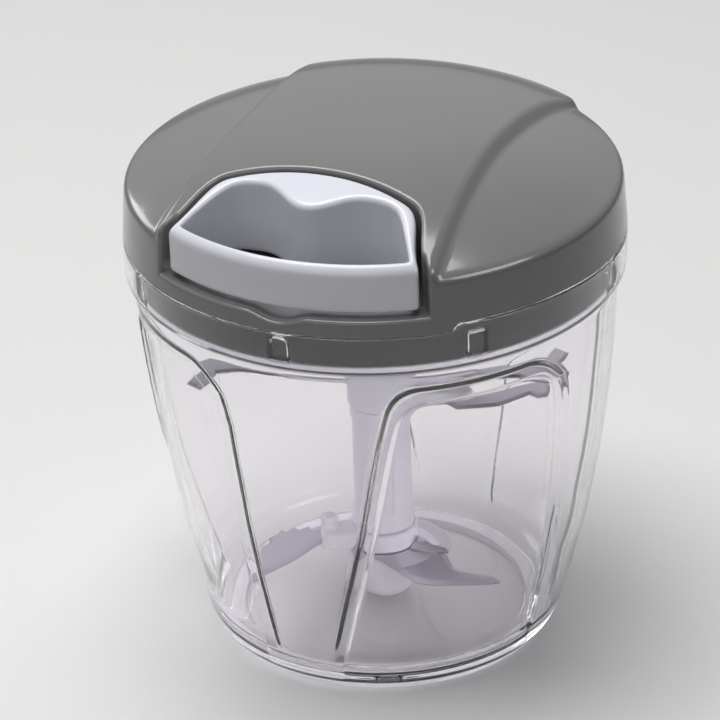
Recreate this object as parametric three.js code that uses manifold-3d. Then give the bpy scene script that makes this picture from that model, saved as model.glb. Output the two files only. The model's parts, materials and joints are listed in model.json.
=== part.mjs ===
// Pull cord food chopper: a clear bowl, a blade assembly on a pin, and a lid that holds the cord reel.
// Millimetres, +Z up, the origin under the middle of the foot, the pull handle at -Y.
// An azimuth is measured from -Y towards +X.
import * as THREE from "three";
import { mergeVertices } from "three/addons/utils/BufferGeometryUtils.js";
import Module from "manifold-3d";

const wasm = await Module();
wasm.setup();

const degree = Math.PI / 180;

// Shared sizes
const seat = 0.3; // gap between pieces that rest on each other
const overrun = 2; // how far a cut runs past the face it opens
const weldTolerance = 1e-4;
const roundSegments = 48;
const smallSegments = 24;
const arcSteps = 6;

// Bowl
const rimRadius = 66;
const rimHeight = 117;
const collarHeight = 9.4;
const collarWall = 1.8;
const ledgeDepth = 10.4;
const neckStep = 2;
const neckDrop = 11;
const neckRadius = rimRadius - neckStep;
const neckHeight = rimHeight - neckDrop;
const collarBore = rimRadius - collarWall;
const collarStep = rimHeight - collarHeight;
const ledgeHeight = rimHeight - ledgeDepth;
const baseHeight = 1.2;
const wall = 2.4;
const floorUnderside = 3;
const floorThickness = 2.8;
const floorTop = floorUnderside + floorThickness;
const wallRadiusShares = [0.702, 0.733, 0.755, 0.77, 0.783, 0.806, 0.825, 0.875, 0.903, 0.95, 0.97, 0.986, 1];
const wallHeightShares = [
  0.011, 0.028, 0.053, 0.081, 0.113, 0.16, 0.208, 0.33, 0.425, 0.613, 0.731, 0.849, 1,
];
const floorCornerShares = [
  [0.722, 0.081],
  [0.69, 0.062],
  [0.65, 0.0547],
];
const panelDepth = 1.8;
const panelCount = 4;
const panelTopDrop = 7;
const panelTop = neckHeight - panelTopDrop;
const panelBottom = 9;
const panelFade = 10; // height over which a panel runs out at its foot
const panelCornerHeight = 9;
const panelLeftFoot = 5.7 * degree;
const panelLeftTop = 24.7 * degree;
const panelRight = 74.7 * degree;
const panelCornerTurn = 6 * degree;
const lugCount = 8;
const lugWidth = 4.6;
const lugHeight = 6.9;
const lugDrop = 1.6;
const lugTop = rimHeight - lugDrop;
const lugBottom = lugTop - lugHeight;
const lugDepth = 1.5;
const rimArcHeight = 2.1;
const rimArcStart = 39.1 * degree;
const rimArcTurn = 62 * degree;
const bossRadius = 4.6;
const bossHeight = 3.2;
const bossTop = floorTop + bossHeight;
const pinRadius = 2.2;
const pinLength = 23.4;
const pinRoot = 1.3; // how deep the pin stands in the floor
const pinBottom = floorTop - pinRoot;
const pinTop = pinBottom + pinLength;
const footInner = 38.8;
const footOuter = 43.2;
const footHeight = 3;
const footLipWidth = 2.1;

// Lid
const lidSkirtRadius = rimRadius;
const lidSkirtHeight = 14.2;
const lidSkirtDraft = 1;
const lidWall = 2;
const lidSkirtTop = rimHeight + lidSkirtHeight;
const domeEdgeInset = 1.6;
const domeEdgeRise = 1.1;
const domeEdgeRadius = lidSkirtRadius - domeEdgeInset;
const domeEdgeHeight = lidSkirtTop + domeEdgeRise;
const panelRise = 11.4;
const bandLift = 2.4; // the raised band's edge over that of the side panels
const bandRise = 12.3;
const domePower = 3;
const domeRadiusShares = [1, 0.93, 0.85, 0.76, 0.66, 0.54, 0.4, 0.22];
const bandHalfWidth = 33.9;
const bandFlare = 3.1;
const bandFlareRun = 45;
const bandFlarePower = 1.5;
const sillRise = 5;
const sillTop = rimHeight + sillRise;
const dipRadius = 12.6;
const dipDepth = 1.8;
const dipLength = 11;
const baseDrop = 8.5;
const basePlate = 2.5;
const baseRingWall = 2.9;
const baseRingRise = 2.3;
const baseRingOuter = collarBore - 2 * seat;
const baseBottom = rimHeight - baseDrop;
const baseRingTop = rimHeight + baseRingRise;
const notchDepth = 1.4;
const sealWidth = 1.7;
const screwCircle = 50;
const screwAzimuths = [55, 128, -128, -55].map((a) => a * degree);
const screwShank = 1.3;
const screwHead = 3;
const screwHeadHeight = 1.5;
const screwLength = 12;
const screwTop = baseBottom + screwLength;
const screwBossRadius = 4;
const axleBossRadius = 7;
const axleBossGap = 0.4;
const axleRoof = 1;

// Handle: depths are counted from its front
const sillWidth = 2;
const handleFrontRadius = lidSkirtRadius - sillWidth;
const handleHalfTurn = 32.2 * degree;
const handleDepth = 32.6;
const handleBack = handleFrontRadius - handleDepth;
const handleShoulderX = 24;
const handleShoulderDepth = 27.7;
const handleShoulderY = handleFrontRadius - handleShoulderDepth;
const handleFlank = 5;
const handleSideRun = 10;
const handleCorner = 2.8;
const handleLift = 1.5;
const handleBottom = sillTop + handleLift;
const handleFrontWall = 2.8;
const handleTopShares = [0.31, 0.47, 0.57, 0.7, 0.86, 0.94, 1];
const lobeX = 16;
const lobeDepth = 26;
const lobeY = handleFrontRadius - lobeDepth;
const lobeReach = 7.5;
const bumpReach = 6;
const bumpDepth = 18.6;
const bumpY = handleFrontRadius - bumpDepth;
const openingHalfTurn = 30.3 * degree;
const openingCorner = 1.8;
const openingSideRun = 18.4;
const recessGap = 1.3;
const recessHalfTurn = 34.1 * degree;
const knotInset = 7.5;
const knotY = handleBack + knotInset;
const knotRadius = 2.4;
const knotPocket = 3.5;
const plugHeight = 1.2;

// Cord and reel
const cordHeight = handleBottom + plugHeight + seat + knotRadius;
const cordRadius = 1.1;
const cordBore = 1.6;
const bendReach = 3.2;
const windingTurns = 3;
const drumRadius = 16.4;
const drumWidth = 8;
const windingDepth = 2.2;
const flangeRadius = 24.5;
const flangeThickness = 1.5;
const drumBottom = cordHeight - drumWidth / 2;
const drumTop = drumBottom + drumWidth;
const spoolBottom = drumBottom - flangeThickness;
const springHouseFloor = 1.6;
const springHouseHeight = 6.9;
const springFloor = drumTop + springHouseFloor;
const springHouseTop = springFloor + springHouseHeight;
const springHouseWall = 1.6;
const capThickness = 1.2;
const springInner = 4.3;
const springPlay = 0.7;
const springOuter = flangeRadius - springHouseWall - springPlay;
const springTurns = 7;
const springStepsPerTurn = 18;
const springStrip = 0.6;
const axleRadius = 3.5;
const axleBossBottom = springHouseTop + seat + capThickness + axleBossGap;
const axleTop = domeEdgeHeight + bandLift + bandRise - lidWall - axleRoof;
const eyeletTube = 2.9;
const eyeletFlange = 4.6;
const eyeletFlangeThickness = 1.5;

// Drive
const bushWall = 2.1;
const bushDrop = 4.7;
const bushBottom = baseBottom - bushDrop;
const bushFlange = 13.4;
const bushFlangeThickness = 0.8;
const bushFlangeBottom = baseBottom + basePlate + seat;
const socketTube = 8.6;
const socketDrop = 7;
const socketBottom = baseBottom - socketDrop;
const cupFloor = 2;
const cupFloorBottom = bushFlangeBottom + bushFlangeThickness + seat;
const cupOuter = 15.5;
const cupWall = 1.6;
const cupTop = spoolBottom - 2 * seat;
const toothCount = 12;
const toothDepth = 1.3;
const ratchetWall = 1;
const starArms = 3;
const starHub = 7.4;
const starReach = 10.9;
const spigotHalf = 4.5;
const hexRadius = 5.43;

// Blade assembly
const footTipRadius = 6.6;
const shaftFootBottom = floorTop + seat;
const shaftFootHeight = 13.6;
const shaftFootTaper = 3.2;
const shaftFootTop = shaftFootBottom + shaftFootHeight;
const shaftRadius = 8.3;
const bladesTurn = 2.7 * degree; // how far round the blades rest
const lowerTurn = 18 * degree; // how far the lower blades stand round from the upper ones
const spigotRadius = 5.2;
const bladeThickness = 1;
const sickleHeight = shaftFootTop + seat;
const carrierRise = 6.5;
const carrierTop = sickleHeight + carrierRise;
const carrierRadius = 9.4;
const shaftLength = 37.4;
const shoulderHeight = carrierTop + shaftLength;
const coreRadius = 6.5;
const sleeveRadius = 8.9;
const sleeveGap = 2.3;
const sleeveTop = socketBottom - sleeveGap;
const hexReach = 3;
const shaftTop = baseBottom + hexReach;
const sleeveArmThickness = 4.4;
const middleArmRise = 2.5;
const armPitch = 5.2;
const middleArmHeight = shoulderHeight + middleArmRise;
const upperArmHeight = middleArmHeight + armPitch;
const upperArmLength = 26.5;
const upperArmWidth = 8;
const upperBladeTurn = 15 * degree;
const middleArmLength = 26;
const middleBladeTurn = 3 * degree;
const lowerArmRise = 1.3;
const lowerArmHeight = 5.2;
const lowerArmBottom = sickleHeight + lowerArmRise;
const lowerArmTop = lowerArmBottom + lowerArmHeight;
const lowerArmLength = 17;
const lowerArmRoot = 4;
const lowerArmFront = 7.7;
const lowerArmBack = 0.1;
const knobHeight = 3.5;
const knobTop = lowerArmTop + knobHeight;
const knobRadius = 2.3;
const serratedRise = 2.1;
const serratedHeight = lowerArmBottom + serratedRise;
const rearRise = 0.5;
const rearHeight = lowerArmBottom + rearRise;
const rearPitch = 2 * degree;
const fingerRadius = 1.3;
const fingerTurn = -25 * degree;

// Blade outlines: shares of the blade's length, along it and across it
const serratedLength = 36;
const serratedShares = [
  [0.33, 0.02],
  [0.47, -0.02],
  [0.546, 0],
  [0.573, -0.061],
  [0.648, -0.007],
  [0.69, -0.052],
  [0.744, 0.019],
  [0.796, -0.003],
  [0.826, 0.086],
  [0.883, 0.109],
  [0.874, 0.195],
  [0.914, 0.211],
  [0.943, 0.325],
  [0.944, 0.499],
  [0.893, 0.671],
  [0.827, 0.608],
  [0.655, 0.434],
  [0.5, 0.24],
  [0.46, 0.2],
  [0.33, 0.19],
];
const sickleLength = 38;
const sickleShares = [
  [-0.105, -0.221],
  [-0.026, -0.305],
  [0.084, -0.439],
  [0.158, -0.532],
  [0.229, -0.589],
  [0.342, -0.626],
  [0.495, -0.637],
  [0.658, -0.637],
  [0.805, -0.616],
  [0.826, -0.584],
  [0.811, -0.547],
  [0.761, -0.497],
  [0.674, -0.463],
  [0.582, -0.432],
  [0.516, -0.395],
  [0.484, -0.326],
  [0.463, -0.242],
  [0.411, -0.105],
  [0.289, 0],
  [0.158, 0.105],
];
const rearLength = 21.5;
const rearShares = [
  [0.279, -0.279],
  [0.716, -0.447],
  [0.847, -0.409],
  [0.865, -0.265],
  [0.819, -0.047],
  [0.716, 0.14],
  [0.558, 0.293],
  [0.391, 0.391],
  [0.26, 0.409],
  [0.093, 0.349],
];
const upperLength = 52;
const upperShares = [
  [0.3, -0.065],
  [0.55, -0.085],
  [0.72, -0.07],
  [0.8, -0.12],
  [0.88, -0.11],
  [0.963, -0.04],
  [0.935, 0.05],
  [0.985, 0.19],
  [0.895, 0.26],
  [0.868, 0.19],
  [0.83, 0.075],
  [0.72, 0.05],
  [0.55, 0.075],
  [0.3, 0.065],
];
const middleLength = 47;
const middleShares = [
  [0.33, -0.06],
  [0.5, -0.17],
  [0.72, -0.08],
  [0.86, 0.09],
  [0.91, 0.06],
  [0.965, 0.1],
  [0.97, 0.25],
  [0.93, 0.31],
  [0.85, 0.25],
  [0.72, 0.15],
  [0.55, 0.08],
  [0.33, 0.08],
];

// Materials: colour, roughness, metalness
const finish = (color, roughness, metalness = 0) => () =>
  new THREE.MeshStandardMaterial({ color, roughness, metalness });
const clearPlastic = () =>
  new THREE.MeshStandardMaterial({ color: 0xe6e1ec, roughness: 0.08, transparent: true, opacity: 0.35 });
const lidGrey = finish(0x8b8b8d, 0.28);
const baseGrey = finish(0x55524f, 0.4);
const handleWhite = finish(0xe4e4ee, 0.35);
const shaftWhite = finish(0xdcd6dd, 0.4);
const bladeSteel = finish(0x8f8c99, 0.3, 0.9);
const pinSteel = finish(0xb8b8bc, 0.25, 1);
const softRing = finish(0xd9d4da, 0.6);
const reelPlastic = finish(0xc9c9c4, 0.5);
const cordWhite = finish(0xe8e6e0, 0.8);

// Solids and geometries
function toSolid(geometry) {
  const bare = geometry.clone();
  bare.deleteAttribute("normal");
  bare.deleteAttribute("uv");
  const merged = mergeVertices(bare, weldTolerance);
  const corners = merged.index.array;
  const kept = [];
  for (let i = 0; i < corners.length; i += 3) {
    const [a, b, c] = corners.slice(i, i + 3);
    if (a !== b && b !== c && c !== a) kept.push(a, b, c);
  }
  return new wasm.Manifold(
    new wasm.Mesh({
      numProp: 3,
      vertProperties: Float32Array.from(merged.attributes.position.array),
      triVerts: Uint32Array.from(kept),
    }),
  );
}

function toGeometry(solid) {
  const mesh = solid.getMesh();
  const geometry = new THREE.BufferGeometry();
  geometry.setAttribute("position", new THREE.BufferAttribute(Float32Array.from(mesh.vertProperties), 3));
  geometry.setIndex(new THREE.BufferAttribute(Uint32Array.from(mesh.triVerts), 1));
  geometry.computeVertexNormals();
  return geometry;
}

const join = (...geometries) => toGeometry(geometries.map(toSolid).reduce((a, b) => a.add(b)));
const cut = (body, ...tools) => toGeometry(tools.map(toSolid).reduce((a, b) => a.subtract(b), toSolid(body)));
const common = (a, b) => toGeometry(toSolid(a).intersect(toSolid(b)));

// A profile of [radius, height] turned round the axis, anticlockwise in that plane
function lathe(profile, segments = smallSegments) {
  const points = profile.map(([radius, height]) => new THREE.Vector2(radius, height));
  return new THREE.LatheGeometry(points, segments).rotateX(Math.PI / 2);
}

const ringProfile = (inner, outer, bottom, top) => [
  [inner, bottom],
  [outer, bottom],
  [outer, top],
  [inner, top],
  [inner, bottom],
];
const bigLathe = (profile) => lathe(profile, roundSegments);

function ring(inner, outer, bottom, top) {
  return lathe(ringProfile(inner, outer, bottom, top));
}

function disc(radius, bottom, top, segments = smallSegments) {
  return lathe(
    [
      [0, bottom],
      [radius, bottom],
      [radius, top],
      [0, top],
    ],
    segments,
  );
}

// An outline of [x, y] points raised from one height to another
function prism(outline, bottom, top) {
  const shape = new THREE.Shape(outline.map(([x, y]) => new THREE.Vector2(x, y)));
  const depth = top - bottom;
  return new THREE.ExtrudeGeometry(shape, { depth, bevelEnabled: false }).translate(0, 0, bottom);
}

function box(x0, x1, y0, y1, z0, z1) {
  const centre = [x0 + x1, y0 + y1, z0 + z1].map((sum) => sum / 2);
  return new THREE.BoxGeometry(x1 - x0, y1 - y0, z1 - z0).translate(...centre);
}

// A cylinder along Y between two places
function rodAlongY(radius, x, z, y0, y1, segments = smallSegments) {
  return new THREE.CylinderGeometry(radius, radius, y1 - y0, segments).translate(x, (y0 + y1) / 2, z);
}

const around = (radius, azimuth) => [radius * Math.sin(azimuth), -radius * Math.cos(azimuth)];

function arc(radius, from, to, steps = arcSteps) {
  return Array.from({ length: steps + 1 }, (_, i) => around(radius, from + ((to - from) * i) / steps));
}

function bezier(a, b, c, d, steps = arcSteps) {
  const corners = [a, b, c, d].map(([x, y]) => new THREE.Vector2(x, y));
  return new THREE.CubicBezierCurve(...corners).getPoints(steps).map((p) => [p.x, p.y]);
}

// An outline grown outwards by a distance; its points run anticlockwise
function grown(outline, distance) {
  return outline.map(([x, y], i) => {
    const [px, py] = outline[(i + outline.length - 1) % outline.length];
    const [nx, ny] = outline[(i + 1) % outline.length];
    const along = new THREE.Vector2(nx - px, ny - py).normalize();
    return [x + along.y * distance, y - along.x * distance];
  });
}

// Radius of the bowl's outer wall at a height
function wallRadius(height) {
  const share = height / neckHeight;
  const last = wallHeightShares.length - 1;
  let i = 1;
  while (i < last && wallHeightShares[i] < share) i += 1;
  const t = (share - wallHeightShares[i - 1]) / (wallHeightShares[i] - wallHeightShares[i - 1]);
  return neckRadius * THREE.MathUtils.lerp(wallRadiusShares[i - 1], wallRadiusShares[i], t);
}

// One grip panel: the space between two distances from the outer wall, inside the swoosh outline
function panelBlock(turn, inset, outset) {
  const rows = 9;
  const columns = 6;
  const positions = [];
  const index = [];
  const place = (radius, azimuth, height) => positions.push(...around(radius, azimuth), height);
  for (const distance of [-inset, outset])
    for (let i = 0; i <= rows; i += 1) {
      const height = THREE.MathUtils.lerp(panelBottom, panelTop, i / rows);
      const corner = Math.max(0, (height - (panelTop - panelCornerHeight)) / panelCornerHeight);
      const rise = (height - panelBottom) / (panelTop - panelBottom);
      const left = THREE.MathUtils.lerp(panelLeftFoot, panelLeftTop, rise) + panelCornerTurn * corner ** 2;
      const right = panelRight - panelCornerTurn * corner ** 2;
      const fade = distance < 0 ? Math.min(1, (height - panelBottom) / panelFade) : 1;
      const offset = distance < 0 ? distance + panelDepth * (1 - fade) : distance;
      for (let j = 0; j <= columns; j += 1)
        place(wallRadius(height) + offset, turn + THREE.MathUtils.lerp(left, right, j / columns), height);
    }
  const at = (side, i, j) => (side * (rows + 1) + i) * (columns + 1) + j;
  const quad = (a, b, c, d) => index.push(a, b, c, a, c, d);
  for (let i = 0; i < rows; i += 1) {
    for (let j = 0; j < columns; j += 1) {
      quad(at(1, i, j), at(1, i, j + 1), at(1, i + 1, j + 1), at(1, i + 1, j));
      quad(at(0, i, j), at(0, i + 1, j), at(0, i + 1, j + 1), at(0, i, j + 1));
    }
    quad(at(0, i, 0), at(1, i, 0), at(1, i + 1, 0), at(0, i + 1, 0));
    quad(at(0, i, columns), at(0, i + 1, columns), at(1, i + 1, columns), at(1, i, columns));
  }
  for (let j = 0; j < columns; j += 1) {
    quad(at(0, 0, j), at(0, 0, j + 1), at(1, 0, j + 1), at(1, 0, j));
    quad(at(0, rows, j), at(1, rows, j), at(1, rows, j + 1), at(0, rows, j + 1));
  }
  const geometry = new THREE.BufferGeometry();
  geometry.setAttribute("position", new THREE.Float32BufferAttribute(positions, 3));
  return geometry.setIndex(index);
}

// An upright tab of the collar's lugs, arched at the top or square, standing in radius from inner to outer
function tab(azimuth, grow, inner, outer, bottom, arched) {
  const half = lugWidth / 2 + grow;
  const top = lugTop + grow;
  const shape = new THREE.Shape();
  shape.moveTo(-half, bottom);
  shape.lineTo(half, bottom);
  if (arched) {
    shape.lineTo(half, top - half);
    shape.absarc(0, top - half, half, 0, Math.PI, false);
  } else {
    shape.lineTo(half, top);
    shape.lineTo(-half, top);
  }
  shape.closePath();
  const options = { depth: outer - inner, bevelEnabled: false, curveSegments: arcSteps };
  return new THREE.ExtrudeGeometry(shape, options)
    .rotateX(Math.PI / 2)
    .translate(0, -inner, 0)
    .rotateZ(azimuth);
}

// A stretch of ring between two azimuths, whose top falls to nothing at its end
function arcWedge(inner, outer, bottom, top, start, turn) {
  const rows = 8;
  const positions = [];
  const index = [];
  for (let i = 0; i <= rows; i += 1) {
    const azimuth = start + (turn * i) / rows;
    const height = THREE.MathUtils.lerp(top, bottom + overrun, (i / rows) ** 2);
    positions.push(...around(inner, azimuth), bottom, ...around(outer, azimuth), bottom);
    positions.push(...around(outer, azimuth), height, ...around(inner, azimuth), height);
  }
  const quad = (a, b, c, d) => index.push(a, b, c, a, c, d);
  for (let i = 0; i < rows; i += 1)
    for (let k = 0; k < 4; k += 1) {
      const next = (k + 1) % 4;
      quad(4 * i + k, 4 * i + 4 + k, 4 * i + 4 + next, 4 * i + next);
    }
  quad(0, 1, 2, 3);
  quad(4 * rows, 4 * rows + 3, 4 * rows + 2, 4 * rows + 1);
  const geometry = new THREE.BufferGeometry();
  geometry.setAttribute("position", new THREE.Float32BufferAttribute(positions, 3));
  return geometry.setIndex(index);
}

const turns = (count) => Array.from({ length: count }, (_, i) => (i * 2 * Math.PI) / count);

// Bowl
function makeBowl() {
  const wallPoint = (share, i) => [share * neckRadius, wallHeightShares[i] * neckHeight];
  const outerWall = wallRadiusShares.map(wallPoint);
  const innerWall = outerWall
    .slice(outerWall.findIndex(([, height]) => height > bossTop))
    .map(([radius, height]) => [radius - wall, height])
    .reverse();
  const corner = floorCornerShares.map(([radius, height]) => [radius * neckRadius, height * neckHeight]);
  const solid = bigLathe([
    [0, floorUnderside],
    [footInner - seat - footLipWidth, floorUnderside],
    [footInner - seat - footLipWidth, baseHeight],
    [footInner - seat, baseHeight],
    [footInner - seat, footHeight + seat],
    [footOuter + seat, footHeight + seat],
    [footOuter + seat, baseHeight],
    ...outerWall,
    [rimRadius, collarStep],
    [rimRadius, rimHeight],
    [collarBore, rimHeight],
    [collarBore, ledgeHeight],
    [neckRadius - wall, ledgeHeight],
    ...innerWall,
    ...corner,
    [bossRadius, floorTop],
    [bossRadius, bossTop],
    [pinRadius + seat, bossTop],
    [pinRadius + seat, pinBottom - seat],
    [0, pinBottom - seat],
  ]);
  const panels = turns(panelCount);
  const pads = panels.map((turn) => panelBlock(turn, wall + panelDepth, -wall / 2));
  const recesses = panels.map((turn) => panelBlock(turn, panelDepth, overrun));
  const lugs = turns(lugCount).map((turn, i) =>
    tab(turn, 0, collarBore - lugDepth, collarBore + seat, lugBottom, i % 2 === 0),
  );
  const arcTop = rimHeight + rimArcHeight;
  const arcs = [0, Math.PI].map((turn) =>
    arcWedge(collarBore, rimRadius, rimHeight - overrun, arcTop, rimArcStart + turn, rimArcTurn),
  );
  return cut(join(solid, ...pads, ...lugs, ...arcs), ...recesses);
}

function makeFootRing() {
  return bigLathe(ringProfile(footInner, footOuter, 0, footHeight));
}

function makePivotPin() {
  const tip = pinRadius / 2;
  return lathe([
    [0, pinBottom],
    [pinRadius, pinBottom],
    [pinRadius, pinTop - tip],
    [tip, pinTop],
    [0, pinTop],
  ]);
}

const bandHeight = (radius) =>
  domeEdgeHeight + bandLift + bandRise * (1 - (radius / domeEdgeRadius) ** domePower);

// Handle
function handleOutline() {
  const [frontX, frontY] = around(handleFrontRadius, handleHalfTurn);
  const cornerTurn = handleCorner / handleFrontRadius;
  const slope = (2 * (handleShoulderY - handleBack)) / handleShoulderX;
  const flankX = handleShoulderX + handleFlank;
  const flankY = handleShoulderY + handleFlank * slope;
  const frontTurn = handleHalfTurn - cornerTurn;
  const front = arc(handleFrontRadius, -frontTurn, frontTurn, arcSteps * 2);
  const shoulder = [handleShoulderX, -handleShoulderY];
  const side = around(handleFrontRadius - handleCorner, handleHalfTurn);
  const corner = bezier(front[front.length - 1], [frontX, frontY], [frontX, frontY], side, 3).slice(1);
  const heel = around(handleFrontRadius - handleSideRun, handleHalfTurn);
  const flank = bezier(side, heel, [flankX, -flankY], shoulder).slice(1);
  const backPeak = -handleBack + (handleShoulderY - handleBack) / 3;
  const crown = handleShoulderX / 3;
  const back = bezier(shoulder, [crown, backPeak], [-crown, backPeak], [-handleShoulderX, -handleShoulderY]);
  const right = [...corner, ...flank];
  const left = right
    .slice(0, -1)
    .map(([x, y]) => [-x, y])
    .reverse();
  return [...front, ...right, ...back.slice(1), ...left];
}

function openingOutline() {
  const radius = handleFrontRadius - handleFrontWall;
  const cornerTurn = openingCorner / radius;
  const front = arc(radius, -openingHalfTurn + cornerTurn, openingHalfTurn - cornerTurn, arcSteps * 2);
  const [cornerX, cornerY] = around(radius, openingHalfTurn);
  const side = around(radius - openingCorner, openingHalfTurn);
  const lobe = [lobeX, -lobeY];
  const corner = bezier(front[front.length - 1], [cornerX, cornerY], [cornerX, cornerY], side, 3).slice(1);
  const heel = around(handleFrontRadius - openingSideRun, openingHalfTurn);
  const outside = bezier(side, heel, [lobeX + lobeReach, -lobeY], lobe).slice(1);
  const inside = bezier(lobe, [lobeX - lobeReach, -lobeY], [bumpReach, -bumpY], [0, -bumpY]).slice(1);
  const right = [...corner, ...outside, ...inside];
  const left = right
    .slice(0, -1)
    .map(([x, y]) => [-x, y])
    .reverse();
  return [...front, ...right, ...left];
}

// The handle's top goes on with the curve of the lid's band
function makeHandle() {
  const reach = handleFrontRadius + overrun;
  const top = handleTopShares.map((share) => [share * reach, bandHeight(share * reach)]).reverse();
  const peak = bandHeight(0);
  const bottom = handleBottom - overrun;
  const topShape = bigLathe([[0, bottom], [reach, bottom], ...top, [0, peak]]);
  const block = common(prism(handleOutline(), handleBottom, peak + overrun), topShape);
  const opening = prism(openingOutline(), bottom, peak + overrun);
  const bore = rodAlongY(cordBore, 0, cordHeight, -knotY, -handleBack + overrun);
  const pocket = disc(knotPocket, bottom, cordHeight + knotPocket);
  return cut(block, opening, bore, pocket.translate(0, -knotY, 0));
}

function makeHandlePlug() {
  return disc(knotPocket - seat, handleBottom, handleBottom + plugHeight).translate(0, -knotY, 0);
}

function makeCordKnot() {
  return new THREE.SphereGeometry(knotRadius, 14, 10).rotateX(Math.PI / 2).translate(0, -knotY, cordHeight);
}

// Lid
function domeProfile(lift, rise, inset) {
  return domeRadiusShares.map((share) => {
    const radius = share * (domeEdgeRadius - inset);
    return [radius, domeEdgeHeight + lift - inset + rise * (1 - share ** domePower)];
  });
}

function domeSolid(lift, rise, inset, bottom) {
  return bigLathe([
    [0, bottom],
    [lidSkirtRadius - inset, bottom],
    [lidSkirtRadius - lidSkirtDraft - inset, lidSkirtTop + lift - inset],
    ...domeProfile(lift, rise, inset),
    [0, domeEdgeHeight + lift - inset + rise],
  ]);
}

// The raised band's outline, whose sides flare towards both ends
function bandOutline(inset) {
  const steps = 8;
  const reach = lidSkirtRadius;
  const edge = Array.from({ length: steps + 1 }, (_, i) => {
    const y = THREE.MathUtils.lerp(-reach, reach, i / steps);
    return [bandHalfWidth - inset + bandFlare * (Math.abs(y) / bandFlareRun) ** bandFlarePower, y];
  });
  return [...edge, ...edge.map(([x, y]) => [-x, -y])];
}

function lidBody(inset, bottom) {
  const bandPlan = prism(bandOutline(inset), bottom, lidTop);
  const band = common(domeSolid(bandLift, bandRise, inset, bottom), bandPlan);
  return join(domeSolid(0, panelRise, inset, bottom), band);
}

const lidBottom = rimHeight + seat;
const lidTop = domeEdgeHeight + bandLift + bandRise + overrun;
const recessBack = handleBack - recessGap;
const guideFace = recessBack - lidWall;
const cordMeet = -guideFace + eyeletFlangeThickness + seat;

// The space that the handle stands in, open to the front; grow is its wall
function recessOutline(grow) {
  const reach = handleFrontRadius - 2 * handleCorner;
  const outline = grown(handleOutline(), recessGap + grow).filter(([x, y]) => Math.hypot(x, y) < reach);
  const mouth = arc(lidSkirtRadius + 2 * overrun, -recessHalfTurn, recessHalfTurn, arcSteps);
  const side = grow / Math.cos(recessHalfTurn);
  const lips = mouth.map(([x, y]) => [x + side * Math.sign(x), y]);
  return [...lips, ...outline];
}

function makeLidCover() {
  const hollow = lidBody(lidWall, lidBottom - overrun);
  const shell = lidBody(0, lidBottom);
  const pocketWall = common(prism(recessOutline(lidWall), sillTop - lidWall, lidTop), shell);
  const axleBoss = common(disc(axleBossRadius, axleBossBottom, lidTop), shell);
  const bossBottom = baseBottom + basePlate + seat;
  const bosses = screwAzimuths.map((azimuth) =>
    common(
      disc(screwBossRadius, bossBottom, lidTop).translate(...around(screwCircle, azimuth), 0),
      lidBody(0, bossBottom),
    ),
  );
  const pilots = screwAzimuths.map((azimuth) =>
    disc(screwShank + seat, bossBottom - overrun, screwTop + seat, smallSegments / 2).translate(
      ...around(screwCircle, azimuth),
      0,
    ),
  );
  const reliefs = [0, Math.PI].map((turn) =>
    arcWedge(
      collarBore - seat,
      rimRadius + overrun,
      lidBottom - overrun,
      rimHeight + rimArcHeight + seat,
      rimArcStart + turn - seat / rimRadius,
      rimArcTurn + (overrun * 2) / rimRadius,
    ),
  );
  const dip = rodAlongY(
    dipRadius,
    0,
    sillTop + dipRadius - dipDepth,
    -lidSkirtRadius - overrun,
    -lidSkirtRadius + dipLength,
    roundSegments,
  );
  return cut(
    join(cut(shell, hollow), pocketWall, axleBoss, ...bosses),
    prism(recessOutline(0), sillTop, lidTop + overrun),
    disc(axleRadius + seat, axleBossBottom - overrun, axleTop + seat),
    rodAlongY(eyeletTube + seat, 0, cordHeight, -recessBack - overrun, -guideFace + overrun),
    dip,
    ...pilots,
    ...reliefs,
  );
}

const bushInner = socketTube + seat;
const bushOuter = bushInner + bushWall;

function makeLidBase() {
  const boss = bushOuter + seat;
  const plateTop = baseBottom + basePlate;
  const solid = bigLathe([
    [boss, bushBottom],
    [boss + bushWall, bushBottom],
    [boss + bushWall, baseBottom],
    [baseRingOuter, baseBottom],
    [baseRingOuter, baseRingTop],
    [baseRingOuter - baseRingWall, baseRingTop],
    [baseRingOuter - baseRingWall, plateTop],
    [boss, plateTop],
    [boss, bushBottom],
  ]);
  const notches = turns(lugCount).map((turn, i) =>
    tab(turn, seat, baseRingOuter - notchDepth, rimRadius, baseBottom - overrun, i % 2 === 0),
  );
  const holes = screwAzimuths.map((azimuth) => {
    const [x, y] = around(screwCircle, azimuth);
    const headTop = baseBottom + screwHeadHeight;
    const counterbore = disc(screwHead + seat, baseBottom - overrun, headTop, smallSegments / 2);
    const hole = disc(screwShank + seat, baseBottom, plateTop + overrun, smallSegments / 2);
    return join(counterbore, hole).translate(x, y, 0);
  });
  return cut(solid, ...notches, ...holes);
}

function makeLidSeal() {
  const inner = baseRingOuter - sealWidth;
  return bigLathe(ringProfile(inner, baseRingOuter, ledgeHeight + seat, baseBottom - seat));
}

function makeScrew(azimuth) {
  const headTop = baseBottom + screwHeadHeight - seat;
  return lathe(
    [
      [0, headTop - screwHeadHeight + seat],
      [screwHead, headTop - screwHeadHeight + seat],
      [screwHead, headTop],
      [screwShank, headTop],
      [screwShank, screwTop],
      [0, screwTop],
    ],
    smallSegments / 2,
  ).translate(...around(screwCircle, azimuth), 0);
}

function makeCordGuide() {
  const tube = rodAlongY(eyeletTube, 0, cordHeight, -recessBack, -guideFace + seat);
  const flangeEnd = -guideFace + eyeletFlangeThickness;
  const flange = rodAlongY(eyeletFlange, 0, cordHeight, -guideFace + seat, flangeEnd);
  const bore = rodAlongY(cordBore, 0, cordHeight, -recessBack - overrun, flangeEnd + overrun);
  return cut(join(tube, flange), bore);
}

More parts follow.
